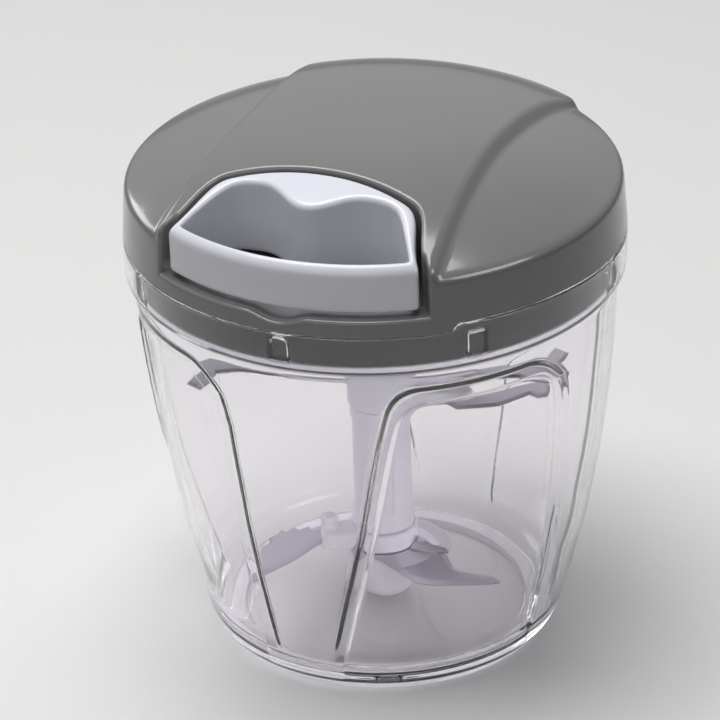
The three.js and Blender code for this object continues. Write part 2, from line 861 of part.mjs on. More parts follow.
function makeSpoolAxle() {
  return disc(axleRadius, cupFloorBottom + cupFloor + seat, axleTop);
}

// Reel, spring and cord
const spoolBore = axleRadius + seat;

function makeCordSpool() {
  const body = lathe([
    [spoolBore, spoolBottom],
    [flangeRadius, spoolBottom],
    [flangeRadius, drumBottom],
    [drumRadius, drumBottom],
    [drumRadius, drumTop],
    [flangeRadius, drumTop],
    [flangeRadius, springHouseTop],
    [flangeRadius - springHouseWall, springHouseTop],
    [flangeRadius - springHouseWall, springFloor],
    [spoolBore, springFloor],
    [spoolBore, spoolBottom],
  ]);
  const spigotTop = spoolBottom + flangeThickness;
  const spigot = box(-spigotHalf, spigotHalf, -spigotHalf, spigotHalf, starBottom, spigotTop);
  const bore = disc(spoolBore, starBottom - overrun, springFloor + overrun);
  return cut(join(body, spigot), bore);
}

function makeSpoolCap() {
  const bottom = springHouseTop + seat;
  return ring(axleRadius + 2 * seat, flangeRadius, bottom, bottom + capThickness);
}

function makeWinding() {
  const bottom = drumBottom + seat;
  const pitch = (drumTop - seat - bottom) / windingTurns;
  const inner = drumRadius + seat;
  const outer = inner + windingDepth;
  const coils = Array.from({ length: windingTurns }, (_, i) => [
    [outer - cordRadius, bottom + i * pitch],
    [outer - seat, bottom + (i + 1 / 4) * pitch],
    [outer, bottom + (i + 1 / 2) * pitch],
    [outer - seat, bottom + (i + 3 / 4) * pitch],
  ]);
  return lathe([
    [inner, bottom],
    ...coils.flat(),
    [outer - cordRadius, drumTop - seat],
    [inner, drumTop - seat],
    [inner, bottom],
  ]);
}

// A flat strip on edge whose radius grows evenly with its turns
function makeRecoilSpring() {
  const steps = springTurns * springStepsPerTurn;
  const bottom = springFloor + seat;
  const top = springHouseTop - seat;
  const positions = [];
  const index = [];
  for (let i = 0; i <= steps; i += 1) {
    const azimuth = (i * 2 * Math.PI) / springStepsPerTurn;
    const radius = THREE.MathUtils.lerp(springInner, springOuter - springStrip, i / steps);
    const inner = around(radius, azimuth);
    const outer = around(radius + springStrip, azimuth);
    positions.push(...inner, bottom, ...outer, bottom, ...outer, top, ...inner, top);
  }
  const quad = (a, b, c, d) => index.push(a, b, c, a, c, d);
  for (let i = 0; i < steps; i += 1)
    for (let k = 0; k < 4; k += 1) {
      const next = (k + 1) % 4;
      quad(4 * i + k, 4 * i + 4 + k, 4 * i + 4 + next, 4 * i + next);
    }
  quad(0, 1, 2, 3);
  quad(4 * steps, 4 * steps + 3, 4 * steps + 2, 4 * steps + 1);
  const geometry = new THREE.BufferGeometry();
  geometry.setAttribute("position", new THREE.Float32BufferAttribute(positions, 3));
  return geometry.setIndex(index);
}

// The stretch from the wound cord to the eyelet: along the drum's tangent, then bent towards the handle
function makeCordRun() {
  const coreRadius = drumRadius + seat + cordRadius;
  const clearRadius = drumRadius + 2 * seat + windingDepth + cordRadius;
  const bend = new THREE.Vector2(0, cordMeet + bendReach);
  const touch = Math.acos(coreRadius / bend.length());
  const tangent = new THREE.Vector2(...around(coreRadius, touch));
  const away = tangent.clone().sub(bend);
  away.setLength(away.length() - Math.sqrt(clearRadius ** 2 - coreRadius ** 2));
  const start = bend.clone().add(away);
  const curve = new THREE.QuadraticBezierCurve3(
    new THREE.Vector3(start.x, start.y, cordHeight),
    new THREE.Vector3(bend.x, bend.y, cordHeight),
    new THREE.Vector3(0, cordMeet + seat, cordHeight),
  );
  return cordTube(curve, arcSteps);
}

function cordTube(curve, steps) {
  const section = new THREE.Shape();
  section.absarc(0, 0, cordRadius, 0, 2 * Math.PI, false);
  const options = { steps, extrudePath: curve, curveSegments: 4, bevelEnabled: false };
  return new THREE.ExtrudeGeometry(section, options);
}

function makeCordLead() {
  const curve = new THREE.LineCurve3(
    new THREE.Vector3(0, cordMeet, cordHeight),
    new THREE.Vector3(0, -knotY + knotRadius + seat, cordHeight),
  );
  return cordTube(curve, 3);
}

// Drive and clutch
const cupInner = cupOuter - cupWall;
const starBottom = cupFloorBottom + cupFloor + 2 * seat;
const starTop = spoolBottom - seat;
const ratchetOuter = cupInner - seat;
const hexHole = hexRadius + seat;

function makeDriveSocket() {
  const floorTopHeight = cupFloorBottom + cupFloor;
  const body = lathe([
    [0, socketBottom],
    [socketTube, socketBottom],
    [socketTube, cupFloorBottom],
    [cupOuter, cupFloorBottom],
    [cupOuter, cupTop],
    [cupInner, cupTop],
    [cupInner, floorTopHeight],
    [0, floorTopHeight],
  ]);
  return cut(body, disc(hexHole, socketBottom - overrun, shaftTop + seat, 6));
}

// Saw teeth round a circle: the radius climbs along each tooth and drops at its end
function sawOutline(count, low, high) {
  return turns(count).flatMap((turn) => [
    around(low, turn),
    around((low + high) / 2, turn + Math.PI / count),
    around(high, turn + (2 * Math.PI) / count - seat / high),
  ]);
}

function makeRatchetRing() {
  const bottom = cupFloorBottom + cupFloor + seat;
  const top = cupTop - seat;
  const teeth = prism(
    sawOutline(toothCount, ratchetOuter - ratchetWall - toothDepth, ratchetOuter - ratchetWall),
    bottom - overrun,
    top + overrun,
  );
  return cut(disc(ratchetOuter, bottom, top), teeth);
}

function makeClutchStar() {
  const half = spigotHalf + seat;
  const star = prism(sawOutline(starArms, starHub, starReach), starBottom, starTop);
  return cut(star, box(-half, half, -half, half, starBottom - overrun, starTop + overrun));
}

function makeDriveBush() {
  const top = bushFlangeBottom + bushFlangeThickness;
  return join(
    ring(bushInner, bushOuter, bushBottom, top),
    ring(bushInner, bushFlange, bushFlangeBottom, top),
  );
}

// Blade assembly
function bladePlate(shares, length, height) {
  const outline = shares.map(([along, across]) => [along * length, across * length]);
  return prism(outline, height, height + bladeThickness);
}

function makeShaftFoot() {
  const bore = pinRadius + seat;
  const counterbore = bossRadius + 2 * seat;
  return lathe([
    [counterbore, shaftFootBottom],
    [footTipRadius, shaftFootBottom],
    [shaftRadius - seat, shaftFootBottom + shaftFootTaper],
    [shaftRadius - seat, shaftFootTop],
    [bore, shaftFootTop],
    [bore, bossTop + seat],
    [counterbore, bossTop + seat],
    [counterbore, shaftFootBottom],
  ]);
}

function makeBladeShaft() {
  const bore = pinRadius + seat;
  const body = lathe([
    [bore, sickleHeight],
    [spigotRadius, sickleHeight],
    [spigotRadius, carrierTop + seat],
    [shaftRadius, carrierTop + seat],
    [shaftRadius, shoulderHeight],
    [coreRadius, shoulderHeight],
    [coreRadius, sleeveTop + seat],
    [0, sleeveTop + seat],
    [0, pinTop + seat],
    [bore, pinTop + seat],
    [bore, sickleHeight],
  ]);
  return join(body, disc(hexRadius, sleeveTop, shaftTop, 6));
}

// A straight arm that points to +X before it is turned
function arm(from, to, width, bottom, top, turn) {
  return box(from, to, -width / 2, width / 2, bottom, top).rotateZ(turn);
}

function slotFor(blade) {
  const grownBlade = blade.clone();
  grownBlade.computeBoundingBox();
  const { min, max } = grownBlade.boundingBox;
  return box(min.x - seat, max.x, min.y - seat, max.y + seat, min.z - seat, max.z + seat);
}

function makeUpperCarrier() {
  const sleeve = ring(coreRadius + seat, sleeveRadius, shoulderHeight + seat, sleeveTop);
  const inside = sleeveRadius - seat;
  const upperTop = upperArmHeight + sleeveArmThickness;
  const arms = [0, Math.PI].map((turn) =>
    arm(inside, upperArmLength, upperArmWidth, upperArmHeight, upperTop, upperBladeTurn + turn),
  );
  const middleTop = middleArmHeight + sleeveArmThickness;
  const middle = arm(inside, middleArmLength, upperArmWidth, middleArmHeight, middleTop, middleBladeTurn);
  const upperSlot = slotFor(bladePlate(upperShares, upperLength, upperBladeHeight));
  const middleSlot = slotFor(bladePlate(middleShares, middleLength, middleBladeHeight));
  return cut(
    join(sleeve, ...arms, middle),
    upperSlot.clone().rotateZ(upperBladeTurn),
    upperSlot.clone().rotateZ(upperBladeTurn + Math.PI),
    middleSlot.rotateZ(middleBladeTurn),
  );
}

const upperBladeHeight = upperArmHeight + (sleeveArmThickness - bladeThickness) / 2;
const middleBladeHeight = middleArmHeight + (sleeveArmThickness - bladeThickness) / 2;

const makeUpperBlade = (turn) =>
  bladePlate(upperShares, upperLength, upperBladeHeight).rotateZ(upperBladeTurn + turn);
const makeMiddleBlade = () =>
  bladePlate(middleShares, middleLength, middleBladeHeight).rotateZ(middleBladeTurn);
const serratedPlate = () => bladePlate(serratedShares, serratedLength, serratedHeight);
const makeSerratedBlade = () => serratedPlate().rotateZ(Math.PI + lowerTurn);

function makeSickleBlade() {
  const bore = spigotRadius + seat;
  const top = sickleHeight + bladeThickness;
  const root = disc(carrierRadius, sickleHeight, top);
  const hole = disc(bore, sickleHeight - overrun, top + overrun);
  return cut(join(root, bladePlate(sickleShares, sickleLength, sickleHeight)), hole).rotateZ(lowerTurn);
}

function makeRearBlade() {
  const plate = bladePlate(rearShares, rearLength, 0);
  const clear = disc(carrierRadius + seat, -lowerArmTop, lowerArmTop);
  return cut(plate.rotateX(rearPitch).translate(0, 0, rearHeight), clear).rotateZ(lowerTurn);
}

function makeLowerCarrier() {
  const bottom = sickleHeight + bladeThickness + seat;
  const collar = ring(spigotRadius + seat, carrierRadius, bottom, carrierTop);
  const inside = carrierRadius - seat;
  const spigotHole = disc(spigotRadius + seat, bottom - overrun, lowerArmTop + overrun);
  const leftArm = cut(
    box(-lowerArmLength, -lowerArmRoot, -lowerArmFront, lowerArmBack, lowerArmBottom, lowerArmTop),
    spigotHole,
  );
  const knobX = lowerArmLength - knobRadius;
  const knobPost = disc(knobRadius, lowerArmTop - seat, knobTop, smallSegments / 2);
  const knob = knobPost.translate(-knobX, -knobRadius, 0);
  const fingerBottom = carrierTop - 2 * fingerRadius;
  const finger = box(inside, inside + shaftRadius, -fingerRadius, fingerRadius, fingerBottom, carrierTop);
  const slot = slotFor(serratedPlate()).rotateZ(Math.PI);
  return cut(join(collar, leftArm, knob, finger.rotateZ(fingerTurn)), slot).rotateZ(lowerTurn);
}

// The assembly, each piece in the group of the body that carries it
const chopper = new THREE.Group();

function carry(pieces, turn = 0) {
  const body = new THREE.Group();
  for (const [name, geometry, material] of pieces) {
    const mesh = new THREE.Mesh(geometry.rotateZ(turn), material());
    mesh.name = name;
    body.add(mesh);
  }
  chopper.add(body);
}

carry([
  ["bowl", makeBowl(), clearPlastic],
  ["foot_ring", makeFootRing(), softRing],
  ["pivot_pin", makePivotPin(), pinSteel],
]);

carry([
  ["blade_shaft", makeBladeShaft(), shaftWhite],
  ["shaft_foot", makeShaftFoot(), shaftWhite],
  ["upper_blade_carrier", makeUpperCarrier(), shaftWhite],
  ["lower_blade_carrier", makeLowerCarrier(), shaftWhite],
  ["upper_blade_right", makeUpperBlade(0), bladeSteel],
  ["upper_blade_left", makeUpperBlade(Math.PI), bladeSteel],
  ["middle_blade", makeMiddleBlade(), bladeSteel],
  ["lower_blade_serrated", makeSerratedBlade(), bladeSteel],
  ["lower_blade_sickle", makeSickleBlade(), bladeSteel],
  ["lower_blade_rear", makeRearBlade(), bladeSteel],
], bladesTurn);

carry([
  ["lid_cover", makeLidCover(), lidGrey],
  ["lid_base", makeLidBase(), baseGrey],
  ["lid_seal", makeLidSeal(), softRing],
  ["cord_guide", makeCordGuide(), pinSteel],
  ["spool_axle", makeSpoolAxle(), pinSteel],
  ["drive_bush", makeDriveBush(), reelPlastic],
  ["cord_run", makeCordRun(), cordWhite],
  ["cord_lead", makeCordLead(), cordWhite],
  ...screwAzimuths.map((azimuth, i) => ["lid_screw_" + (i + 1), makeScrew(azimuth), pinSteel]),
]);

carry([
  ["cord_spool", makeCordSpool(), reelPlastic],
  ["spool_cap", makeSpoolCap(), reelPlastic],
  ["cord_winding", makeWinding(), cordWhite],
  ["recoil_spring", makeRecoilSpring(), pinSteel],
  ["clutch_star", makeClutchStar(), shaftWhite],
]);

carry([
  ["drive_socket", makeDriveSocket(), shaftWhite],
  ["ratchet_ring", makeRatchetRing(), reelPlastic],
], bladesTurn);

carry([
  ["pull_handle", makeHandle(), handleWhite],
  ["handle_plug", makeHandlePlug(), handleWhite],
  ["cord_knot", makeCordKnot(), cordWhite],
]);

export default chopper;
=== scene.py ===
# Pull cord food chopper: a clear bowl, a white shaft with steel blades, a grey lid and its pull handle.
# Shapes are worked out in millimetres in the frame's axes and written to the meshes in metres.
# An azimuth is measured from -Y, where the handle is, towards +X.
import json
import bpy
import bmesh
import numpy as np
from mathutils import Matrix, Vector


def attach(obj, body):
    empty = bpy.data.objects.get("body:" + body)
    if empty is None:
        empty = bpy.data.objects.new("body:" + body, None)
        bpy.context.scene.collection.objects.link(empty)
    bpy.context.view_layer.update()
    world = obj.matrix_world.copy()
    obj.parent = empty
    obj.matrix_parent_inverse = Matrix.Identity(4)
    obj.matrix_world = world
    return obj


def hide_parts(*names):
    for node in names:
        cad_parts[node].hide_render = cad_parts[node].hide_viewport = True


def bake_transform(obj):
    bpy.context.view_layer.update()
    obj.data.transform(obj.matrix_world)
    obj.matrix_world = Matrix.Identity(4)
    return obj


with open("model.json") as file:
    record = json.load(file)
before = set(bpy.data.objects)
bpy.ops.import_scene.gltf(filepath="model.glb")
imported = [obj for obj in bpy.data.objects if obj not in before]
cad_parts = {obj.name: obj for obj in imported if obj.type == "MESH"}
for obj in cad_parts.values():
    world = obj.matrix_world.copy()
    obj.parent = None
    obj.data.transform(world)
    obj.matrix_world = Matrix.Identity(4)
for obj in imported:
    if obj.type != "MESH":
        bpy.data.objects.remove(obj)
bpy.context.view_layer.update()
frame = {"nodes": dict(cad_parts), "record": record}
scene = bpy.context.scene
millimetre = 0.001
detail = 1.0 # cells are coarser while trying things


# Small maths

def lerp(a, b, t):
    return a + (b - a) * t


def ease(t):
    # A share from 0 to 1 that starts and ends level: 3t^2 - 2t^3
    t = np.clip(t, 0.0, 1.0)
    return t * t * (3.0 - 2.0 * t)


def roundMax(a, b, radius):
    # The larger of two distances, rounded off over the stretch where they are within radius
    overlap = np.maximum(radius - np.abs(a - b), 0.0) / radius
    return np.maximum(a, b) + overlap * overlap * radius / 4.0


def roundMin(a, b, radius):
    # The smaller of two distances, with a fillet where they are within radius
    return -roundMax(-a, -b, radius)


def around(radius, azimuth):
    return np.array([radius * np.sin(azimuth), -radius * np.cos(azimuth)])


def spacePoints(radius, azimuth, height):
    x, y = around(radius, azimuth)
    return np.stack([x, y, height + 0 * x], -1)


def upright(radius, low, high, count):
    # A straight stretch of a profile at one radius
    return np.stack([np.full(count, radius), np.linspace(low, high, count)], 1)


def bezier(a, b, c, d, count):
    # A cubic curve from a to d with the handles b and c, without its first point
    t = np.linspace(0.0, 1.0, count + 1)[1:, None]
    a, b, c, d = (np.array(p, float) for p in (a, b, c, d))
    return a * (1 - t) ** 3 + 3 * b * t * (1 - t) ** 2 + 3 * c * t * t * (1 - t) + d * t**3


def throughPoints(points, count, closed=False):
    # A smooth curve through points: on each span a cubic whose slopes come from the neighbours
    p = np.array(points, float)
    if closed:
        before, start, end, after = (np.roll(p, k, 0) for k in (1, 0, -1, -2))
    else:
        padded = np.vstack([2 * p[0] - p[1], p, 2 * p[-1] - p[-2]])
        before, start, end, after = padded[:-3], padded[1:-2], padded[2:-1], padded[3:]
    t = np.linspace(0.0, 1.0, count, endpoint=False)[None, :, None]
    before, start, end, after = (q[:, None, :] for q in (before, start, end, after))
    slopeStart, slopeEnd = (end - before) / 2, (after - start) / 2
    curve = (
        start * (2 * t**3 - 3 * t**2 + 1)
        + slopeStart * (t**3 - 2 * t**2 + t)
        + end * (-2 * t**3 + 3 * t**2)
        + slopeEnd * (t**3 - t**2)
    ).reshape(-1, 2)
    return curve if closed else np.vstack([curve, p[-1:]])


def turned(points, degrees):
    # Plan points turned round the axis, anticlockwise from above
    angle = np.radians(degrees)
    x, y = np.array(points, float).T
    return np.stack([x * np.cos(angle) - y * np.sin(angle), x * np.sin(angle) + y * np.cos(angle)], 1)


def outlineDistance(outline, x, y):
    # How far each place is from a closed outline in the plan: negative inside, by the nearest edge
    nearest = np.full(np.broadcast(x, y).shape, 1e9)
    inside = np.zeros(nearest.shape, bool)
    ends = np.roll(outline, -1, 0)
    for (ax, ay), (bx, by) in zip(outline, ends):
        ex, ey = bx - ax, by - ay
        span = ex * ex + ey * ey
        if span < 1e-12:
            continue
        share = np.clip(((x - ax) * ex + (y - ay) * ey) / span, 0.0, 1.0)
        nearest = np.minimum(nearest, (x - ax - share * ex) ** 2 + (y - ay - share * ey) ** 2)
        if ay != by:
            inside ^= ((ay > y) != (by > y)) & (x < ax + (y - ay) * ex / ey)
    return np.where(inside, -1.0, 1.0) * np.sqrt(nearest)


# Meshes

def meshFromFaces(name, points, faces, normals=None):
    # A smooth mesh whose points are given in millimetres
    mesh = bpy.data.meshes.new(name)
    mesh.from_pydata((points * millimetre).tolist(), [], faces.tolist())
    mesh.validate()
    mesh.shade_smooth()
    if normals is not None:
        mesh.normals_split_custom_set_from_vertices([tuple(n) for n in normals])
    piece = bpy.data.objects.new(name, mesh)
    scene.collection.objects.link(piece)
    return piece


def gridPiece(name, points, sharp, closeRows=False):
    # A surface of rows by columns of points. The columns close on themselves, rows on the axis become
    # poles, and edges over the sharp angle stay sharp
    rows, columns = points.shape[:2]
    lastRow = rows if closeRows else rows - 1
    i, j = np.meshgrid(np.arange(lastRow), np.arange(columns), indexing="ij")
    nextRow, nextColumn = (i + 1) % rows, (j + 1) % columns
    corners = ((i, j), (i, nextColumn), (nextRow, nextColumn), (nextRow, j))
    faces = np.stack([row * columns + column for row, column in corners], -1).reshape(-1, 4)
    flat = points.reshape(-1, 3)
    a, b, c, d = (flat[faces[:, k]] for k in range(4))
    if (a * (np.cross(b, c) + np.cross(c, d))).sum() < 0: # its volume, so that faces look outwards
        faces = faces[:, ::-1]
    piece = meshFromFaces(name, flat, faces)
    work = bmesh.new()
    work.from_mesh(piece.data)
    bmesh.ops.remove_doubles(work, verts=work.verts, dist=1e-7)
    bmesh.ops.dissolve_degenerate(work, edges=work.edges, dist=1e-8)
    work.to_mesh(piece.data)
    work.free()
    piece.data.shade_smooth()
    piece.data.set_sharp_from_angle(angle=np.radians(sharp))
    return piece


def roundedProfile(corners, radius, steps=4):
    # A closed profile of (radius, height) whose corners off the axis are rounded by a short curve
    p = np.array(corners, float)
    out = []
    for before, here, after in zip(np.roll(p, 1, 0), p, np.roll(p, -1, 0)):
        if here[0] < 1e-6:
            out.append(here)
            continue
        toBefore, toAfter = before - here, after - here
        cut = min(radius, 0.4 * np.hypot(*toBefore), 0.4 * np.hypot(*toAfter))
        start = here + toBefore / np.hypot(*toBefore) * cut
        end = here + toAfter / np.hypot(*toAfter) * cut
        t = np.linspace(0, 1, steps + 1)[:, None]
        out.extend(start * (1 - t) ** 2 + 2 * here * t * (1 - t) + end * t * t)
    return np.array(out)


def lathePiece(name, corners, columns, radius):
    # A profile of (radius, height) turned round the axis
    profile = roundedProfile(corners, radius)
    azimuth = np.linspace(0, 2 * np.pi, columns, endpoint=False)
    points = spacePoints(profile[:, :1], azimuth, profile[:, 1:])
    onAxis = corners[0][0] < 1e-6 or corners[-1][0] < 1e-6
    return gridPiece(name, points, 40, closeRows=not onAxis)


def surfaceNet(field, low, cell):
    # The surface where a field on a grid is zero: one point for each crossed cell, at the mean of the
    # crossings on its edges, and one face for each crossed grid edge
    inside = field < 0
    cells = tuple(n - 1 for n in field.shape)
    total = np.zeros(cells + (3,), np.float32)
    count = np.zeros(cells, np.float32)
    crossed = []
    for axis in range(3):
        lower, upper = [slice(None)] * 3, [slice(None)] * 3
        lower[axis], upper[axis] = slice(0, -1), slice(1, None)
        lower, upper = tuple(lower), tuple(upper)
        edge = inside[lower] != inside[upper]
        share = np.where(edge, field[lower] / np.where(edge, field[lower] - field[upper], 1.0), 0.0)
        b, c = [a for a in range(3) if a != axis]
        crossed.append((b, c, edge, inside[lower] ^ (axis == 1)))
        for stepB, stepC in ((0, 0), (0, 1), (1, 0), (1, 1)):
            source = [slice(None)] * 3
            source[b] = slice(stepB, edge.shape[b] - 1 + stepB)
            source[c] = slice(stepC, edge.shape[c] - 1 + stepC)
            hit = edge[tuple(source)]
            count += hit
            total[..., axis] += share[tuple(source)] * hit
            total[..., b] += stepB * hit
            total[..., c] += stepC * hit
    used = count > 0
    number = np.full(cells, -1, np.int64)
    number[used] = np.arange(used.sum())
    place = np.stack(np.nonzero(used), 1) + total[used] / count[used][:, None]
    faces = []
    for b, c, edge, outwards in crossed:
        index = np.stack(np.nonzero(edge), 1)
        keep = (index[:, b] > 0) & (index[:, c] > 0) & (index[:, b] < cells[b]) & (index[:, c] < cells[c])
        index = index[keep]
        corners = []
        for stepB, stepC in ((-1, -1), (0, -1), (0, 0), (-1, 0)):
            shifted = index.copy()
            shifted[:, b] += stepB
            shifted[:, c] += stepC
            corners.append(number[tuple(shifted.T)])
        quad = np.stack(corners, 1)
        inwards = ~outwards[tuple(index.T)]
        quad[inwards] = quad[inwards][:, ::-1]
        faces.append(quad)
    return np.array(low) + place * cell, np.vstack(faces)


def slopeOf(distance, points, step=0.02):
    # The direction in which a distance grows fastest, from differences over a short step
    slope = np.empty_like(points)
    for axis in range(3):
        ahead, behind = points.copy(), points.copy()
        ahead[:, axis] += step
        behind[:, axis] -= step
        slope[:, axis] = (distance(*ahead.T) - distance(*behind.T)) / (2 * step)
    return slope


def solidPiece(name, distance, box, cell, turn=0):
    # A piece from its distance function: the surface net on a grid, whose points are moved along the
    # slope onto the surface and shaded by the slope there, and then turned round the axis
    cell = cell * detail
    axes = [np.arange(a - cell, b + 2 * cell, cell) for a, b in zip(*box)]
    x, y, z = axes[0][:, None, None], axes[1][None, :, None], axes[2][None, None, :]
    field = np.broadcast_to(distance(x, y, z), tuple(len(a) for a in axes)).astype(np.float32)
    points, faces = surfaceNet(field, [a[0] for a in axes], cell)
    for _ in range(2):
        slope = slopeOf(distance, points)
        away = distance(*points.T)
        move = slope * (away / np.maximum((slope**2).sum(1), 0.05))[:, None]
        length = np.linalg.norm(move, axis=1)[:, None]
        points = points - move * np.minimum(1.0, 0.45 * cell / np.maximum(length, 1e-9))
    slope = slopeOf(distance, points, 0.08)
    normals = slope / np.maximum(np.linalg.norm(slope, axis=1), 1e-9)[:, None]
    for rows in (points, normals):
        rows[:, :2] = turned(rows[:, :2], turn)
    piece = meshFromFaces(name, points, faces, normals)
    print("made", name, len(faces), "faces")
    return piece


def stand(piece, body, nodes, slot):
    # The piece rides on a body, stands for its CAD nodes and takes its slot's finish
    piece.data.materials.append(finishes[slot])
    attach(piece, body)
    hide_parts(*nodes)
    return piece


# Shader groups: each puts out only what changes over the surface

def feed(tree, node, key, value):
    # An input gets a value, or is joined to the socket that feeds it
    if isinstance(value, bpy.types.NodeSocket):
        tree.links.new(value, node.inputs[key])
    else:
        node.inputs[key].default_value = value


def addNode(tree, kind, values=None, **settings):
    node = tree.nodes.new("ShaderNode" + kind)
    for name, value in settings.items():
        setattr(node, name, value)
    for key, value in (values or {}).items():
        feed(tree, node, key, value)
    return node


def addMath(tree, operation, a, b):
    return addNode(tree, "Math", {0: a, 1: b}, operation=operation).outputs[0]


def objectPlace(tree):
    return addNode(tree, "TexCoord").outputs["Object"]


def noise(tree, place, scale, octaves):
    return addNode(tree, "TexNoise", {"Vector": place, "Scale": scale, "Detail": octaves}).outputs["Fac"]


def mixColour(tree, share, a, b):
    # Sockets 6 and 7 are the Mix node's two colours
    return addNode(tree, "Mix", {"Factor": share, 6: a, 7: b}, data_type="RGBA").outputs[2]


def nodeGroup(name, inputs):
    group = bpy.data.node_groups.new(name, "ShaderNodeTree")
    for label, value in inputs.items():
        kind = "NodeSocketColor" if isinstance(value, tuple) else "NodeSocketFloat"
        group.interface.new_socket(label, in_out="INPUT", socket_type=kind).default_value = value
    for label, kind in (("Colour", "Color"), ("Roughness", "Float"), ("Normal", "Vector")):
        group.interface.new_socket(label, in_out="OUTPUT", socket_type="NodeSocket" + kind)
    return group, group.nodes.new("NodeGroupInput").outputs, group.nodes.new("NodeGroupOutput")


def putOut(group, given, put, shade, worn, depth, height, distance):
    # The given colour times a shade, the roughness with its wear, and the normal over a height
    tint = addNode(group, "VectorMath", operation="SCALE")
    feed(group, tint, 0, given["Colour"])
    feed(group, tint, "Scale", shade)
    bump = addNode(group, "Bump", {"Distance": distance, "Strength": depth, "Height": height})
    feed(group, put, "Colour", tint.outputs[0])
    feed(group, put, "Roughness", addMath(group, "ADD", worn, given["Roughness"]))
    feed(group, put, "Normal", bump.outputs[0])


def mouldedPlasticGroup():
    # Moulded plastic: faint clouds in the colour, fine grain in the height, rubbed spots in the roughness
    group, given, put = nodeGroup(
        "mouldedPlastic",
        {"Colour": (0.5, 0.5, 0.5, 1), "Cloud": 0.04, "Grain Depth": 0.1, "Roughness": 0.3, "Rub": 0.05},
    )
    place = objectPlace(group)
    cloud, grain, rub = (noise(group, place, *size) for size in ((55, 3), (2500, 2), (140, 4)))
    shade = addMath(group, "MULTIPLY", addMath(group, "SUBTRACT", cloud, 0.5), given["Cloud"])
    shade = addMath(group, "ADD", addMath(group, "MULTIPLY", shade, 2.0), 1.0)
    worn = addMath(group, "MULTIPLY", addMath(group, "SUBTRACT", rub, 0.5), given["Rub"])
    putOut(group, given, put, shade, worn, given["Grain Depth"], grain, 0.00004)
    return group


def groundSteelGroup():
    # Ground steel: fine parallel lines in the height, the roughness and the colour
    group, given, put = nodeGroup(
        "groundSteel", {"Colour": (0.5, 0.5, 0.5, 1), "Lines": 0.12, "Depth": 0.2, "Roughness": 0.3}
    )
    place = objectPlace(group)
    stretch = addNode(group, "Mapping", {"Vector": place, "Scale": (60, 2600, 60)})
    lines, smear = noise(group, stretch.outputs[0], 1, 3), noise(group, place, 90, 4)
    offset = addMath(group, "SUBTRACT", addMath(group, "ADD", lines, smear), 1.0)
    worn = addMath(group, "MULTIPLY", offset, given["Lines"])
    putOut(group, given, put, addMath(group, "ADD", worn, 1.0), worn, given["Depth"], lines, 0.00003)
    return group


mouldedPlastic = mouldedPlasticGroup()
groundSteel = groundSteelGroup()


def shaderOf(name, values):
    material = bpy.data.materials.new(name)
    material.use_nodes = True
    tree = material.node_tree
    shader = tree.nodes["Principled BSDF"]
    for key, value in values.items():
        feed(tree, shader, key, value)
    return material, tree, shader


def placeGroup(tree, shader, group, values):
    node = addNode(tree, "Group", values, node_tree=group)
    for key, label in (("Base Color", "Colour"), ("Roughness", "Roughness"), ("Normal", "Normal")):
        feed(tree, shader, key, node.outputs[label])


def plastic(name, colour, roughness, cloud=0.03, grain=0.08, coat=0.0, specular=0.5):
    values = {"Specular IOR Level": specular, "Coat Weight": coat, "Coat Roughness": 0.08}
    material, tree, shader = shaderOf(name, values)
    given = {"Colour": (*colour, 1), "Cloud": cloud, "Grain Depth": grain, "Roughness": roughness}
    placeGroup(tree, shader, mouldedPlastic, given)
    return material


def steel(name, colour, roughness, lines=0.14, depth=0.25):
    material, tree, shader = shaderOf(name, {"Metallic": 1.0})
    given = {"Colour": (*colour, 1), "Lines": lines, "Depth": depth, "Roughness": roughness}
    placeGroup(tree, shader, groundSteel, given)
    return material


def clearPlastic(name, colour, shade, roughness, index, clarity):
    # Clear moulded plastic: plain transmission, with a faint long ripple of the mould in its height, and
    # lamps shine through it
    material, tree, shader = shaderOf(name, {
        "Base Color": (*colour, 1), "Roughness": roughness, "IOR": index, "Transmission Weight": clarity,
    })
    ripple = noise(tree, objectPlace(tree), 38, 1)
    bump = addNode(tree, "Bump", {"Strength": 0.12, "Distance": 0.0006, "Height": ripple})
    feed(tree, shader, "Normal", bump.outputs[0])
    through = addNode(tree, "BsdfTransparent", {"Color": (*shade, 1)})
    shadow = addNode(tree, "LightPath").outputs["Is Shadow Ray"]
    mix = addNode(tree, "MixShader", {0: shadow, 1: shader.outputs[0], 2: through.outputs[0]})
    feed(tree, tree.nodes["Material Output"], "Surface", mix.outputs[0])
    return material


def braid(name, colour):
    # Braided cord: two sets of waves across the cord that cross like strands
    material, tree, shader = shaderOf(name, {"Roughness": 0.85})
    place = objectPlace(tree)
    strands = []
    for turn in (0.6, -0.6):
        rotate = addNode(tree, "VectorRotate", {"Vector": place, "Angle": turn}, rotation_type="Z_AXIS")
        waves = {"Vector": rotate.outputs[0], "Scale": 420, "Distortion": 0.6}
        strands.append(addNode(tree, "TexWave", waves, bands_direction="Y").outputs["Fac"])
    woven = addMath(tree, "MULTIPLY", *strands)
    bump = addNode(tree, "Bump", {"Strength": 0.6, "Distance": 0.0002, "Height": woven})
    shadow = tuple(0.72 * c for c in colour)
    feed(tree, shader, "Base Color", mixColour(tree, woven, (*shadow, 1), (*colour, 1)))
    feed(tree, shader, "Normal", bump.outputs[0])
    return material


